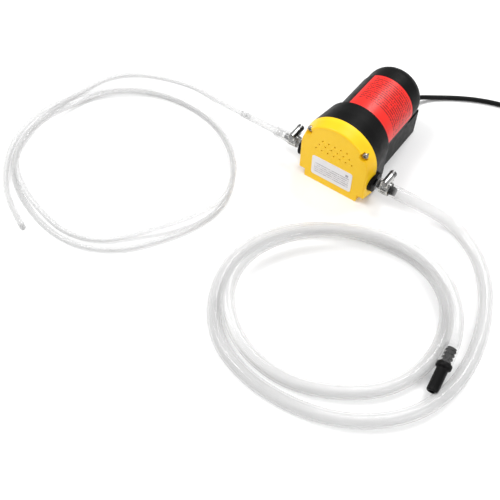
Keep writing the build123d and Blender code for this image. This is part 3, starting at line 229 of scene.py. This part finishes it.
class NodeSheet:
    """A thin wrapper that makes shader nodes in one line each."""

    def __init__(self, name: str) -> None:
        self.material = bpy.data.materials.new(name)
        self.material.use_nodes = True
        self.tree = self.material.node_tree
        self.tree.nodes.clear()
        self.output = self.tree.nodes.new("ShaderNodeOutputMaterial")
        self.coords = self.tree.nodes.new("ShaderNodeTexCoord")

    def add(self, kind: str, settings: dict | None = None, **inputs) -> bpy.types.Node:
        """Make a node.

        Args:
            kind: Blender's node type without its ShaderNode prefix.
            settings: attributes such as operation or blend_type.
            inputs: socket values or sockets to link, by name, with spaces as underscores, or by index as _0.
        Returns:
            The node.
        """
        node = self.tree.nodes.new("ShaderNode" + kind)
        for key, value in (settings or {}).items():
            setattr(node, key, value)
        for key, value in inputs.items():
            label = int(key[1:]) if key.startswith("_") else key.replace("_", " ")
            socket = node.inputs[label]
            if isinstance(value, Socket):
                self.tree.links.new(value, socket)
            else:
                socket.default_value = value
        return node

    def maths(self, operation: str, first: Value, second: Value = 0.0, third: Value = 0.0) -> Socket:
        """One arithmetic node's result socket."""
        return self.add("Math", {"operation": operation}, _0=first, _1=second, _2=third).outputs[0]

    def noise(self, scale: float, detail: float = 3.0, vector: Socket | None = None) -> Socket:
        """Noise over the object's own coordinates, from 0 to 1."""
        place = self.coords.outputs["Object"] if vector is None else vector
        return self.add("TexNoise", None, Vector=place, Scale=scale, Detail=detail).outputs["Fac"]

    def stretched(self, x: float, y: float, z: float) -> Socket:
        """Object coordinates scaled along each axis."""
        place = self.coords.outputs["Object"]
        return self.add("Mapping", None, Vector=place, Scale=(x, y, z)).outputs["Vector"]

    def blend(self, factor: Value, first: Socket | Colour, second: Socket | Colour) -> Socket:
        """A mix of two colours."""
        node = self.add("Mix", {"data_type": "RGBA"})
        for index, value in ((0, factor), (6, first), (7, second)):
            if isinstance(value, Socket):
                self.tree.links.new(value, node.inputs[index])
            else:
                node.inputs[index].default_value = value if index == 0 else (*value, 1.0)
        return node.outputs[2]

    def ramped(self, value: Value, low: float, high: float, start: float = 0.0, end: float = 1.0) -> Socket:
        """A value carried from one range to another, and held at its ends."""
        return self.add("MapRange", None, Value=value, From_Min=low, From_Max=high, To_Min=start,
                        To_Max=end).outputs[0]

    def relief(self, height: Value, strength: float, distance: float = 0.0004) -> Socket:
        """A bumped normal."""
        return self.add("Bump", None, Height=height, Strength=strength, Distance=distance).outputs["Normal"]

    def axes(self) -> tuple[Socket, Socket, Socket]:
        """The object coordinates as three sockets."""
        node = self.add("SeparateXYZ", None, Vector=self.coords.outputs["Object"])
        return node.outputs["X"], node.outputs["Y"], node.outputs["Z"]

    def finish(self, shader: Socket) -> bpy.types.Material:
        """Link the last shader and return the material."""
        self.tree.links.new(shader, self.output.inputs["Surface"])
        return self.material


def moulded(sheet: NodeSheet, finish: Finish) -> Socket:
    """Glossy moulded plastic with a faint orange-peel skin and a painted highlight that lightens its sharp
    edges.
    """
    cloudy = sheet.noise(38.0, 2.0)
    colour = sheet.blend(sheet.ramped(cloudy, 0.35, 0.75, 0.0, 0.30), finish.colour, finish.second)
    # painted highlight: sharp convex edges, found by pointiness, are blended half way towards a lighter copy
    # of the colour
    edge = sheet.ramped(sheet.add("NewGeometry").outputs["Pointiness"], 0.50, 0.56)
    light = tuple(min(1.0, channel * 1.2 + 0.006) for channel in finish.colour)
    edge_highlit = sheet.blend(sheet.maths("MULTIPLY", edge, 0.5), colour, light)
    rough = sheet.ramped(sheet.noise(150.0), 0.3, 0.7, finish.roughness - 0.05, finish.roughness + 0.07)
    skin = sheet.relief(sheet.noise(finish.grain, 2.0), finish.relief)
    return sheet.add("BsdfPrincipled", None, Base_Color=edge_highlit, Roughness=rough, Normal=skin,
                     Specular_IOR_Level=finish.gloss, Coat_Weight=0.03, Coat_Roughness=0.12).outputs[0]


def metal(sheet: NodeSheet, finish: Finish) -> Socket:
    """Machined or pressed metal with fine directional scratches."""
    scratches = sheet.noise(finish.grain, 4.0, sheet.stretched(1.0, 0.06, 1.0))
    patch = sheet.noise(240.0, 2.0)
    dark = tuple(channel * 0.72 for channel in finish.colour)
    colour = sheet.blend(sheet.ramped(patch, 0.3, 0.8, 0.0, 0.6), finish.colour, dark)
    rough = sheet.ramped(scratches, 0.3, 0.7, finish.roughness - 0.07, finish.roughness + 0.10)
    skin = sheet.relief(scratches, finish.relief)
    return sheet.add("BsdfPrincipled", None, Base_Color=colour, Metallic=1.0, Roughness=rough,
                     Normal=skin).outputs[0]


def rubber(sheet: NodeSheet, finish: Finish) -> Socket:
    """Soft or pressed dark material with a fine even grain."""
    grain = sheet.noise(finish.grain, 3.0)
    pale = tuple(min(1.0, channel * 1.5 + 0.003) for channel in finish.colour)
    colour = sheet.blend(sheet.ramped(grain, 0.35, 0.8, 0.0, 0.5), finish.colour, pale)
    rough = sheet.ramped(sheet.noise(90.0), 0.3, 0.7, finish.roughness - 0.08, finish.roughness + 0.10)
    skin = sheet.relief(grain, finish.relief)
    return sheet.add("BsdfPrincipled", None, Base_Color=colour, Roughness=rough, Normal=skin,
                     Specular_IOR_Level=finish.gloss).outputs[0]


def clear(sheet: NodeSheet, finish: Finish) -> Socket:
    """Clear vinyl: nearly invisible face on, milky and grey where the wall is seen edge on."""
    rim = sheet.add("LayerWeight", None, Blend=0.5).outputs["Facing"]
    colour = sheet.blend(sheet.ramped(rim, 0.55, 0.95), finish.colour, finish.second)
    haze = sheet.noise(finish.grain, 2.0)
    body = sheet.add("BsdfPrincipled", None, Base_Color=colour, Roughness=finish.roughness, IOR=1.45,
                     Coat_Weight=0.3, Normal=sheet.relief(haze, finish.relief)).outputs[0]
    through = sheet.add("BsdfTransparent", None, Color=(0.99, 0.99, 0.99, 1.0)).outputs[0]
    wall = sheet.ramped(rim, 0.30, 0.95, 0.20, 0.58)
    solid = sheet.maths("ADD", wall, sheet.ramped(haze, 0.3, 0.7, 0.0, 0.04))
    gripped = None
    for middle, reach in GRIPPED_STRETCHES:
        offset = sheet.add("VectorMath", {"operation": "DISTANCE"}, _0=sheet.coords.outputs["Object"],
                           _1=in_metres(middle)).outputs["Value"]
        part = sheet.ramped(offset, (reach - 3.0) * MM, reach * MM, 1.0, 0.0)
        gripped = part if gripped is None else sheet.maths("MAXIMUM", gripped, part)
    clearer = sheet.maths("SUBTRACT", 1.0, sheet.maths("MULTIPLY", gripped, 0.84))
    solid = sheet.maths("MULTIPLY", solid, clearer)
    return sheet.add("MixShader", None, _0=solid, _1=through, _2=body).outputs[0]


def wound(sheet: NodeSheet, finish: Finish) -> Socket:
    """Enamelled wire wound in close turns."""
    turns = sheet.add("TexWave", {"wave_type": "BANDS", "bands_direction": "DIAGONAL"},
                      Vector=sheet.coords.outputs["Object"], Scale=finish.grain * 0.5, Distortion=2.0,
                      Detail=1.0).outputs["Fac"]
    dark = tuple(channel * 0.45 for channel in finish.colour)
    colour = sheet.blend(turns, dark, finish.colour)
    skin = sheet.relief(turns, finish.relief)
    return sheet.add("BsdfPrincipled", None, Base_Color=colour, Metallic=0.8, Roughness=finish.roughness,
                     Coat_Weight=0.5, Normal=skin).outputs[0]


def laminated(sheet: NodeSheet, finish: Finish) -> Socket:
    """Thin steel stampings stacked along Y."""
    leaves = sheet.add("TexWave", {"wave_type": "BANDS", "bands_direction": "Y"},
                       Vector=sheet.coords.outputs["Object"], Scale=finish.grain * 0.3).outputs["Fac"]
    dark = tuple(channel * 0.5 for channel in finish.colour)
    colour = sheet.blend(leaves, dark, finish.colour)
    return sheet.add("BsdfPrincipled", None, Base_Color=colour, Metallic=0.9, Roughness=finish.roughness,
                     Normal=sheet.relief(leaves, finish.relief)).outputs[0]


def print_lines(sheet: NodeSheet, across: Socket, down: Socket, pitch: float, fill: float) -> Socket:
    """Rows of plain dashes, like a block of small print seen from afar, with no letters.

    Args:
        across: coordinate along the rows, in metres.
        down: coordinate across the rows, in metres.
        pitch: distance between rows.
        fill: share of a row's height that is inked.
    Returns:
        A socket that is 1 where there is ink.
    """
    row = sheet.maths("FLOOR", sheet.maths("DIVIDE", down, pitch))
    within = sheet.maths("FRACT", sheet.maths("DIVIDE", down, pitch))
    band = sheet.maths("LESS_THAN", within, fill)
    place = sheet.add("CombineXYZ", None, X=sheet.maths("MULTIPLY", across, DASHES_PER_METRE),
                      Y=sheet.maths("MULTIPLY", row, 7.31)).outputs[0]
    words = sheet.add("TexNoise", None, Vector=place, Scale=1.0, Detail=1.0).outputs["Fac"]
    return sheet.maths("MULTIPLY", band, sheet.maths("GREATER_THAN", words, 0.43))


def window(sheet: NodeSheet, value: Socket, limits: tuple[float, float]) -> Socket:
    """1 where a value is between two limits, and 0 elsewhere."""
    low, high = limits
    above = sheet.maths("GREATER_THAN", value, low)
    return sheet.maths("MULTIPLY", above, sheet.maths("LESS_THAN", value, high))


def rating(sheet: NodeSheet, finish: Finish) -> Socket:
    """Pale rating plate with faint rows of dashes and a small grey mark, all without letters."""
    x, _, z = sheet.axes()
    rows = print_lines(sheet, x, z, 0.0026, 0.42)
    block = sheet.maths("MULTIPLY", window(sheet, x, RATING_BLOCK[0]), window(sheet, z, RATING_BLOCK[1]))
    ink = sheet.maths("MULTIPLY", rows, block)
    mark = sheet.maths("MULTIPLY", window(sheet, x, RATING_MARK[0]), window(sheet, z, RATING_MARK[1]))
    faint = sheet.maths("MULTIPLY", ink, 0.72)
    everything = sheet.maths("MAXIMUM", faint, sheet.maths("MULTIPLY", mark, 0.70))
    colour = sheet.blend(everything, finish.colour, finish.second)
    return sheet.add("BsdfPrincipled", None, Base_Color=colour, Roughness=finish.roughness, Coat_Weight=0.3,
                     Normal=sheet.relief(sheet.noise(finish.grain), finish.relief)).outputs[0]


def warning(sheet: NodeSheet, finish: Finish) -> Socket:
    """Red wrap-round label whose print is only rows of dashes and plain blocks."""
    x, y, z = sheet.axes()
    angle = sheet.maths("ARCTAN2", x, sheet.maths("SUBTRACT", z, AXIS_Z * MM))
    along = sheet.maths("MULTIPLY", angle, LABEL_RADIUS * MM)
    rows = print_lines(sheet, along, y, 0.0027, 0.48)
    inside = window(sheet, along, WARNING_BLOCK[1])
    block = sheet.maths("MULTIPLY", window(sheet, y, WARNING_BLOCK[0]), inside)
    ink = sheet.maths("MULTIPLY", sheet.maths("MULTIPLY", rows, block), 0.78)
    colour = sheet.blend(ink, finish.colour, finish.second)
    return sheet.add("BsdfPrincipled", None, Base_Color=colour, Roughness=finish.roughness,
                     Specular_IOR_Level=0.3, Coat_Weight=0.1, Coat_Roughness=0.12,
                     Normal=sheet.relief(sheet.noise(finish.grain), finish.relief)).outputs[0]


def pale_floor(sheet: NodeSheet, finish: Finish) -> Socket:
    """Plain pale paper sweep."""
    tone = sheet.ramped(sheet.noise(3.0), 0.3, 0.7, 0.985, 1.0)
    colour = sheet.blend(tone, (0.86, 0.86, 0.86), finish.colour)
    return sheet.add("BsdfPrincipled", None, Base_Color=colour, Roughness=finish.roughness,
                     Specular_IOR_Level=0.2).outputs[0]


RECIPES: dict[Surface, Callable[[NodeSheet, Finish], Socket]] = {
    Surface.MOULDED: moulded,
    Surface.METAL: metal,
    Surface.RUBBER: rubber,
    Surface.CLEAR: clear,
    Surface.WOUND: wound,
    Surface.LAMINATED: laminated,
    Surface.RATING: rating,
    Surface.WARNING: warning,
    Surface.FLOOR: pale_floor,
}


class Paintbox:
    """Makes each finish's material once and puts it on objects."""

    def __init__(self) -> None:
        self.made: dict[str, bpy.types.Material] = {}

    def material(self, name: str) -> bpy.types.Material:
        """The material of a named finish."""
        if name not in self.made:
            finish = FINISHES[name]
            sheet = NodeSheet(name)
            self.made[name] = sheet.finish(RECIPES[finish.surface](sheet, finish))
        return self.made[name]

    def paint(self, thing: bpy.types.Object, name: str) -> None:
        """Give an object one finish all over."""
        if not thing.material_slots:
            thing.data.materials.append(None)
        for slot in thing.material_slots:
            slot.link = "OBJECT"
            slot.material = self.material(name)


# ------------------------------------------------------------------ mesh forms
def add_mesh(name: str, vertices: np.ndarray, faces: np.ndarray, smooth: bool = True) -> bpy.types.Object:
    """Make a mesh object from arrays.

    Args:
        name: the piece's name.
        vertices: one row of metres for each vertex.
        faces: one row of four vertex numbers for each face.
        smooth: whether its faces are shaded smooth.
    Returns:
        The linked object.
    """
    mesh = bpy.data.meshes.new(name)
    mesh.vertices.add(len(vertices))
    mesh.vertices.foreach_set("co", vertices.astype(np.float32).ravel())
    mesh.loops.add(faces.size)
    mesh.loops.foreach_set("vertex_index", faces.astype(np.int32).ravel())
    mesh.polygons.add(len(faces))
    mesh.polygons.foreach_set("loop_start", np.arange(0, faces.size, 4, dtype=np.int32))
    mesh.update(calc_edges=True)
    mesh.validate()
    mesh.polygons.foreach_set("use_smooth", np.full(len(mesh.polygons), smooth))
    thing = bpy.data.objects.new(name, mesh)
    bpy.context.collection.objects.link(thing)
    return thing


def grid_faces(rows: int, columns: int, closed: bool) -> np.ndarray:
    """Vertex numbers of the quads between the rows of a grid whose columns may close on themselves."""
    across = columns if closed else columns - 1
    row, column = np.meshgrid(np.arange(rows - 1), np.arange(across), indexing="ij")
    following = (column + 1) % columns
    corners = (row * columns + column, row * columns + following, (row + 1) * columns + following,
               (row + 1) * columns + column)
    return np.stack(corners, axis=-1).reshape(-1, 4)


def spline_points(name: str, route: Sequence[Point], steps: int = 6) -> np.ndarray:
    """Points along the NURBS spline whose control points are a route.

    Args:
        name: name of the short-lived curve.
        route: control points in millimetres.
        steps: points for each control point.
    Returns:
        An array of points in metres.
    """
    places = [tuple(value * MM for value in point) for point in route]
    data = bpy.data.curves.new(name + "_line", "CURVE")
    data.dimensions = "3D"
    spline = data.splines.new("NURBS")
    spline.points.add(len(places) - 1)
    for point, place in zip(spline.points, places):
        point.co = (*place, 1.0)
    spline.order_u = 3
    spline.use_endpoint_u = True
    spline.resolution_u = steps
    thing = bpy.data.objects.new(name + "_line", data)
    mesh = bpy.data.meshes.new_from_object(thing)
    points = np.empty(len(mesh.vertices) * 3, dtype=np.float32)
    mesh.vertices.foreach_get("co", points)
    bpy.data.objects.remove(thing)
    bpy.data.curves.remove(data)
    bpy.data.meshes.remove(mesh)
    return points.reshape(-1, 3).astype(float)


def frames_along(path: np.ndarray) -> tuple[np.ndarray, np.ndarray]:
    """Two directions square to a path at each of its points, with no twist about it.

    The first direction starts level and is carried from point to point by taking away its part along the
    tangent: u[i] = normalise(u[i-1] - (u[i-1] . t[i]) t[i]), and the second is t x u.
    """
    tangent = np.gradient(path, axis=0)
    tangent /= np.linalg.norm(tangent, axis=1)[:, None]
    first = np.empty_like(path)
    level = np.cross(tangent[0], (0.0, 0.0, 1.0))
    if np.linalg.norm(level) < 1e-6:
        level = np.array((1.0, 0.0, 0.0))
    first[0] = level / np.linalg.norm(level)
    for index in range(1, len(path)):
        side = first[index - 1] - tangent[index] * (first[index - 1] @ tangent[index])
        first[index] = side / np.linalg.norm(side)
    return first, np.cross(tangent, first)


def in_metres(point: Point) -> Point:
    """A place in millimetres as metres."""
    return tuple(value * MM for value in point)


def pipe(name: str, path: np.ndarray, radius: float, bore: float = 0.0,
         segments: int = 28) -> bpy.types.Object:
    """A tube or a round cord along a path.

    Args:
        name: the piece's name.
        path: points in metres.
        radius: outside radius in millimetres.
        bore: inside radius in millimetres, or 0 for a solid cord with flat ends.
        segments: points round the section.
    Returns:
        The object, with v = u cos(a) + w sin(a) times the radius at each path point.
    """
    first, second = frames_along(path)
    angle = np.linspace(0.0, 2.0 * math.pi, segments, endpoint=False)
    cosine, sine = np.cos(angle)[None, :, None], np.sin(angle)[None, :, None]
    ring = first[:, None, :] * cosine + second[:, None, :] * sine
    outer = path[:, None, :] + ring * radius * MM
    if bore:
        inner = (path[:, None, :] + ring * bore * MM)[::-1]
        rings = np.concatenate((outer, inner, outer[:1]))
    else:
        start, end = path[:1, None, :] + ring[:1] * 1e-6, path[-1:, None, :] + ring[-1:] * 1e-6
        rings = np.concatenate((start, outer, end))
    return add_mesh(name, rings.reshape(-1, 3), grid_faces(len(rings), segments, True))


@dataclass(frozen=True)
class Flutes:
    """Shallow lengthwise flutes on part of a turned piece.

    Args:
        count: how many flutes there are.
        depth: half the height between crest and hollow, in millimetres.
        start: where they start along the axis, in millimetres.
        end: where they end along the axis, in millimetres.
        inner: radii up to this one belong to the bore and stay round.
    """

    count: int
    depth: float
    start: float
    end: float
    inner: float

    def swell(self, table: np.ndarray, angle: np.ndarray) -> np.ndarray:
        """What the flutes add to each radius, d cos(n t) between their ends and 0 elsewhere."""
        place, radius = table[:, 0], table[:, 1]
        fluted = (place > self.start) & (place < self.end) & (radius > self.inner)
        return fluted[:, None] * self.depth * np.cos(self.count * angle)[None]


SPOUT_FLUTES = Flutes(8, 0.16, 5.5, 24.0, 4.0)


def lathe(name: str, profile: Sequence[tuple[float, float]], origin: np.ndarray, axis: np.ndarray,
          segments: int = 48, flutes: Flutes | None = None) -> bpy.types.Object:
    """A turned piece: v = o + s a + (r + d cos(n t)) (u cos t + w sin t) for each (s, r) of a profile.

    Args:
        name: the piece's name.
        profile: places along the axis with their radii, in millimetres.
        origin: where the profile starts from, in millimetres.
        axis: direction of the axis.
        segments: points round the section.
        flutes: the flutes on its outside, if it has any.
    Returns:
        The object.
    """
    axis = axis / np.linalg.norm(axis)
    helper = np.array((0.0, 0.0, 1.0)) if abs(axis[2]) < 0.9 else np.array((1.0, 0.0, 0.0))
    first = np.cross(axis, helper)
    first /= np.linalg.norm(first)
    second = np.cross(axis, first)
    angle = np.linspace(0.0, 2.0 * math.pi, segments, endpoint=False)
    around = first[None, :] * np.cos(angle)[:, None] + second[None, :] * np.sin(angle)[:, None]
    table = np.array(profile, dtype=float)
    radius = np.repeat(table[:, 1:], segments, axis=1)
    if flutes:
        radius += flutes.swell(table, angle)
    rings = origin + axis * table[:, 0, None, None] + around[None] * radius[:, :, None]
    return add_mesh(name, rings.reshape(-1, 3) * MM, grid_faces(len(profile), segments, True))


# ------------------------------------------------------------------ the model
@dataclass
class Hoses:
    """The two clear hoses and the inlet's reducer.

    Args:
        paint: the finishes.
        spout: the piece on the thick hose's far end; not used.
    """

    paint: Paintbox
    spout: bpy.types.Object

    def build(self) -> None:
        self.discharge()
        self.suction()

    def tube(self, name: str, route: Sequence[Point],
             radii: tuple[float, float]) -> tuple[bpy.types.Object, np.ndarray]:
        """One clear tube in place of its CAD node, and the path it follows."""
        radius, bore = radii
        path = spline_points(name, route)
        thing = pipe(name + "_clear", path, radius, bore)
        self.paint.paint(thing, "clear_vinyl")
        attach(thing, "pump")
        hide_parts(name)
        LOG.info("%s: %d points", name, len(path))
        return thing, path

    def discharge(self) -> None:
        """Thick hose from the outlet, with the spout on its end."""
        hose, path = self.tube("discharge_hose", DISCHARGE_ROUTE, DISCHARGE_RADII)

    def suction(self) -> None:
        """Thin hose from the inlet's reducer, cut square at its end."""
        self.tube("inlet_reducer", REDUCER_ROUTE, REDUCER_RADII)
        hose, path = self.tube("suction_hose", SUCTION_ROUTE, SUCTION_RADII)


@dataclass
class PowerLead:
    """The black lead, its coil, and the two wires to the battery clips.

    Args:
        paint: the finishes.
        node: the frame's objects by name; not used.
    """

    paint: Paintbox
    node: dict[str, bpy.types.Object]

    def coil(self) -> list[Point]:
        """Turns two side by side and three high: x = cx + r sin t, y = cy + r cos t, z = their layer's."""
        points: list[Point] = []
        turns = 2 * COIL_LAYERS
        total = turns * POINTS_PER_TURN + POINTS_PER_TURN // 4
        for step in range(1, total):
            turn = step / POINTS_PER_TURN
            place = min(turns - 1, int(turn))
            blend = min(1.0, max(0.0, (turn - place - 0.8) / 0.2)) if place < turns - 1 else 0.0
            here, after = self.seat(place), self.seat(min(turns - 1, place + 1))
            radius = here[0] + (after[0] - here[0]) * blend
            height = here[1] + (after[1] - here[1]) * blend
            angle = 2.0 * math.pi * turn
            x = COIL_CENTRE[0] + radius * math.sin(angle)
            y = COIL_CENTRE[1] + radius * math.cos(angle)
            points.append((x, y, height))
        return points

    def seat(self, turn: int) -> tuple[float, float]:
        """Radius and height of one turn: the outer column first, then back and forth layer by layer."""
        layer, second = divmod(turn, 2)
        outer = (second == 0) == (layer % 2 == 0)
        radius = COIL_RADIUS + (CORD_RADIUS if outer else -CORD_RADIUS)
        return radius, CORD_RADIUS + LAYER_HEIGHT * layer

    def build(self) -> None:
        """Make the lead and the two wires."""
        route = [*CORD_ROUTE, *self.coil(), *TAIL_ROUTE[1:]]
        path = spline_points("power_cord", route, 5)
        lead = pipe("power_cord_sheath", path, CORD_RADIUS, segments=16)
        self.paint.paint(lead, "cord_black")
        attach(lead, "pump")
        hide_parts("power_cord", "cord_coil", "cord_tail")
        for name, route, finish in (("red", RED_ROUTE, "wire_red"), ("black", BLACK_ROUTE, "cord_black")):
            self.wire(name, route, finish)

    def wire(self, name: str, route: Sequence[Point], finish: str) -> None:
        """One insulated wire from the end of the sheath to its clip."""
        path = spline_points(name + "_lead", route)
        wire = pipe(name + "_lead_wire", path, WIRE_RADIUS, segments=14)
        self.paint.paint(wire, finish)
        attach(wire, "pump")
        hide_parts(name + "_lead")


@dataclass
class Hardware:
    """Small turned and moulded pieces: the spout, the lead's gland and the clips' grips."""

    paint: Paintbox

    def build(self) -> None:
        """Make the lead's gland and the clips' grips; the spout is made by spout()."""
        self.gland()
        for colour, place in CLIP_PLACES.items():
            self.grip(colour, place, 1.0, "pump")
            self.grip(colour, place, -1.0, colour + "_lever")

    def place(self, thing: bpy.types.Object, finish: str, body: str, *stands_for: str) -> None:
        """Paint a piece, fasten it to its body and let it stand for CAD nodes."""
        self.paint.paint(thing, finish)
        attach(thing, body)
        if stands_for:
            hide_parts(*stands_for)
        LOG.info("%s on %s", thing.name, body)

    def spout(self) -> bpy.types.Object:
        """Barbed tail, collar and fluted spout on the end of the thick hose.

        Returns:
            The piece.
        """
        end, before = np.array(DISCHARGE_ROUTE[-1], float), np.array(DISCHARGE_ROUTE[-2], float)
        axis = end - before
        axis /= np.linalg.norm(axis)
        profile = [(SPOUT_TAIL, SPOUT_BORE), (SPOUT_TAIL, 3.9)]
        for ring in range(BARB_COUNT):
            start = BARB_START + BARB_PITCH * ring
            profile += [(start, BARB_WAIST + 0.1), (start + 1.7, BARB_CREST), (start + 2.1, BARB_CREST),
                        (start + 2.3, BARB_WAIST)]
        profile += [(0.0, BARB_WAIST), (0.0, 6.0), (0.4, 6.4), (3.5, 6.4), (4.0, 6.0), (4.2, 5.0)]
        profile += [(5.0, SPOUT_BARREL), *((place, SPOUT_BARREL) for place in np.linspace(6.0, 23.8, 9))]
        profile += [(24.7, 4.3), (25.0, 3.9), (25.0, 2.9), (24.0, SPOUT_BORE), (SPOUT_TAIL, SPOUT_BORE)]
        thing = lathe("hose_spout", profile, end, axis, 72, SPOUT_FLUTES)
        self.place(thing, "black_moulding", "pump", "hose_nozzle")
        return thing

    def gland(self) -> None:
        """Tapered strain relief with soft ribs round it: r = taper + d cos(2 pi s / pitch) - d."""
        length, foot, tip, flange = 20.0, 3.5, CORD_RADIUS + 0.5, 4.2
        origin = np.array(GLAND_PLACE)
        profile = [(0.0, CORD_RADIUS), (0.0, flange), (1.1, flange), (1.5, flange - 0.4)]
        along = np.linspace(GLAND_RIB_START, length, 70)
        ribbed = along - GLAND_RIB_START
        taper = foot + (tip - foot) * ribbed / (length - GLAND_RIB_START)
        ribs = GLAND_RIB_DEPTH * np.cos(ribbed / GLAND_RIB_PITCH * 2.0 * math.pi) - GLAND_RIB_DEPTH
        profile += list(zip(along, taper + ribs))
        profile += [(length, CORD_RADIUS)]
        thing = lathe("lead_gland", profile, origin, np.array((0.0, 1.0, 0.0)))
        self.place(thing, "seal_rubber", "pump", "cable_gland")

    def grip(self, colour: str, place: tuple[float, float], side: float, body: str) -> None:
        """Soft sleeve over one handle of a clip.

        The section is |x/a|^8 + |z/b|^8 = 1, carried along the handle from near the pivot to its end.

        Args:
            colour: the clip's colour, which names the piece.
            place: the clip's place on the floor, in millimetres.
            side: 1 for the fixed handle and -1 for the moving one.
            body: the body it rides on.
        """
        along = np.linspace(0.0, 1.0, GRIP_ROWS)
        swell = np.sqrt(1.0 - np.clip(np.abs(2.0 * along - 1.0) * 8.0 - 7.0, 0.0, 1.0) ** 2)
        angle = np.linspace(0.0, 2.0 * math.pi, GRIP_COLUMNS, endpoint=False)
        cosine, sine = np.cos(angle), np.sin(angle)
        reach = (np.abs(cosine) ** GRIP_POWER + np.abs(sine) ** GRIP_POWER) ** (-1.0 / GRIP_POWER)
        half_height, length = GRIP_SIZES[side]
        distance = GRIP_START + length * along
        middle = HANDLE_FOOT + distance * HANDLE_RISE / HANDLE_LENGTH
        x = place[0] + side * middle[:, None] + GRIP_HALF_WIDTH * swell[:, None] * (reach * cosine)[None]
        y = np.repeat(place[1] + distance[:, None], GRIP_COLUMNS, axis=1)
        z = GRIP_CENTRE_Z + half_height * swell[:, None] * (reach * sine)[None]
        vertices = np.stack((x, y, z), axis=-1).reshape(-1, 3) * MM
        kind = "fixed" if side > 0 else "moving"
        thing = add_mesh(f"{colour}_clip_grip_{kind}", vertices, grid_faces(GRIP_ROWS, GRIP_COLUMNS, True))
        self.place(thing, "wire_red" if colour == "red" else "cord_black", body)


@dataclass
class Studio:
    """Pale sweep, soft lights and the camera."""

    paint: Paintbox

    def build(self) -> None:
        """Make the floor, lights and camera."""
        self.floor()
        self.lights()
        self.tone()
        self.camera()

    def floor(self) -> None:
        """A flat pale sheet under everything."""
        side = np.linspace(-FLOOR_HALF_SIDE, FLOOR_HALF_SIDE, FLOOR_LINES)
        x, y = np.meshgrid(side, side, indexing="ij")
        vertices = np.stack((x, y, np.full_like(x, FLOOR_Z)), axis=-1).reshape(-1, 3)
        sheet = add_mesh("floor", vertices, grid_faces(FLOOR_LINES, FLOOR_LINES, False)[:, ::-1])
        self.paint.paint(sheet, "floor")

    def lights(self) -> None:
        """A broad key light from above the camera's left, a fill, a top light and a pale surround."""
        for name, place, size, power in LIGHTS:
            data = bpy.data.lights.new(name, "AREA")
            data.size = size
            data.energy = power
            lamp = bpy.data.objects.new(name, data)
            lamp.location = place
            lamp.rotation_euler = (-Vector(place)).to_track_quat("-Z", "Y").to_euler()
            bpy.context.collection.objects.link(lamp)
        world = bpy.data.worlds.new("surround")
        world.use_nodes = True
        background = world.node_tree.nodes["Background"]
        background.inputs["Color"].default_value = (1.0, 1.0, 1.0, 1.0)
        background.inputs["Strength"].default_value = SURROUND_STRENGTH
        bpy.context.scene.world = world

    def tone(self) -> None:
        """Show colours as they are, with no film curve."""
        bpy.context.scene.view_settings.view_transform = "Standard"

    def camera(self) -> None:
        """The camera at the product view."""
        data = bpy.data.cameras.new("camera")
        data.sensor_width = CAMERA_SENSOR
        data.lens = CAMERA_LENS
        camera = bpy.data.objects.new("camera", data)
        camera.location = in_metres(CAMERA_PLACE)
        camera.rotation_euler = (math.radians(CAMERA_TILT), 0.0, math.radians(CAMERA_TURN))
        bpy.context.collection.objects.link(camera)
        bpy.context.scene.camera = camera


def main() -> None:
    logging.basicConfig(level=logging.INFO, format="%(name)s %(message)s")
    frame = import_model()
    paint = Paintbox()
    Studio(paint).build()
    nodes = frame["nodes"]
    slots = {part["node"]: part["material_slot"] for part in frame["record"]["subparts"]}
    for name, thing in nodes.items():
        # the clamps' screws are darker than their bands
        paint.paint(thing, "worm_steel" if name.endswith("clamp_screw") else slots[name])
    hardware = Hardware(paint)
    hardware.build()
    Hoses(paint, hardware.spout()).build()
    PowerLead(paint, nodes).build()


if __name__ == "__main__":
    main()
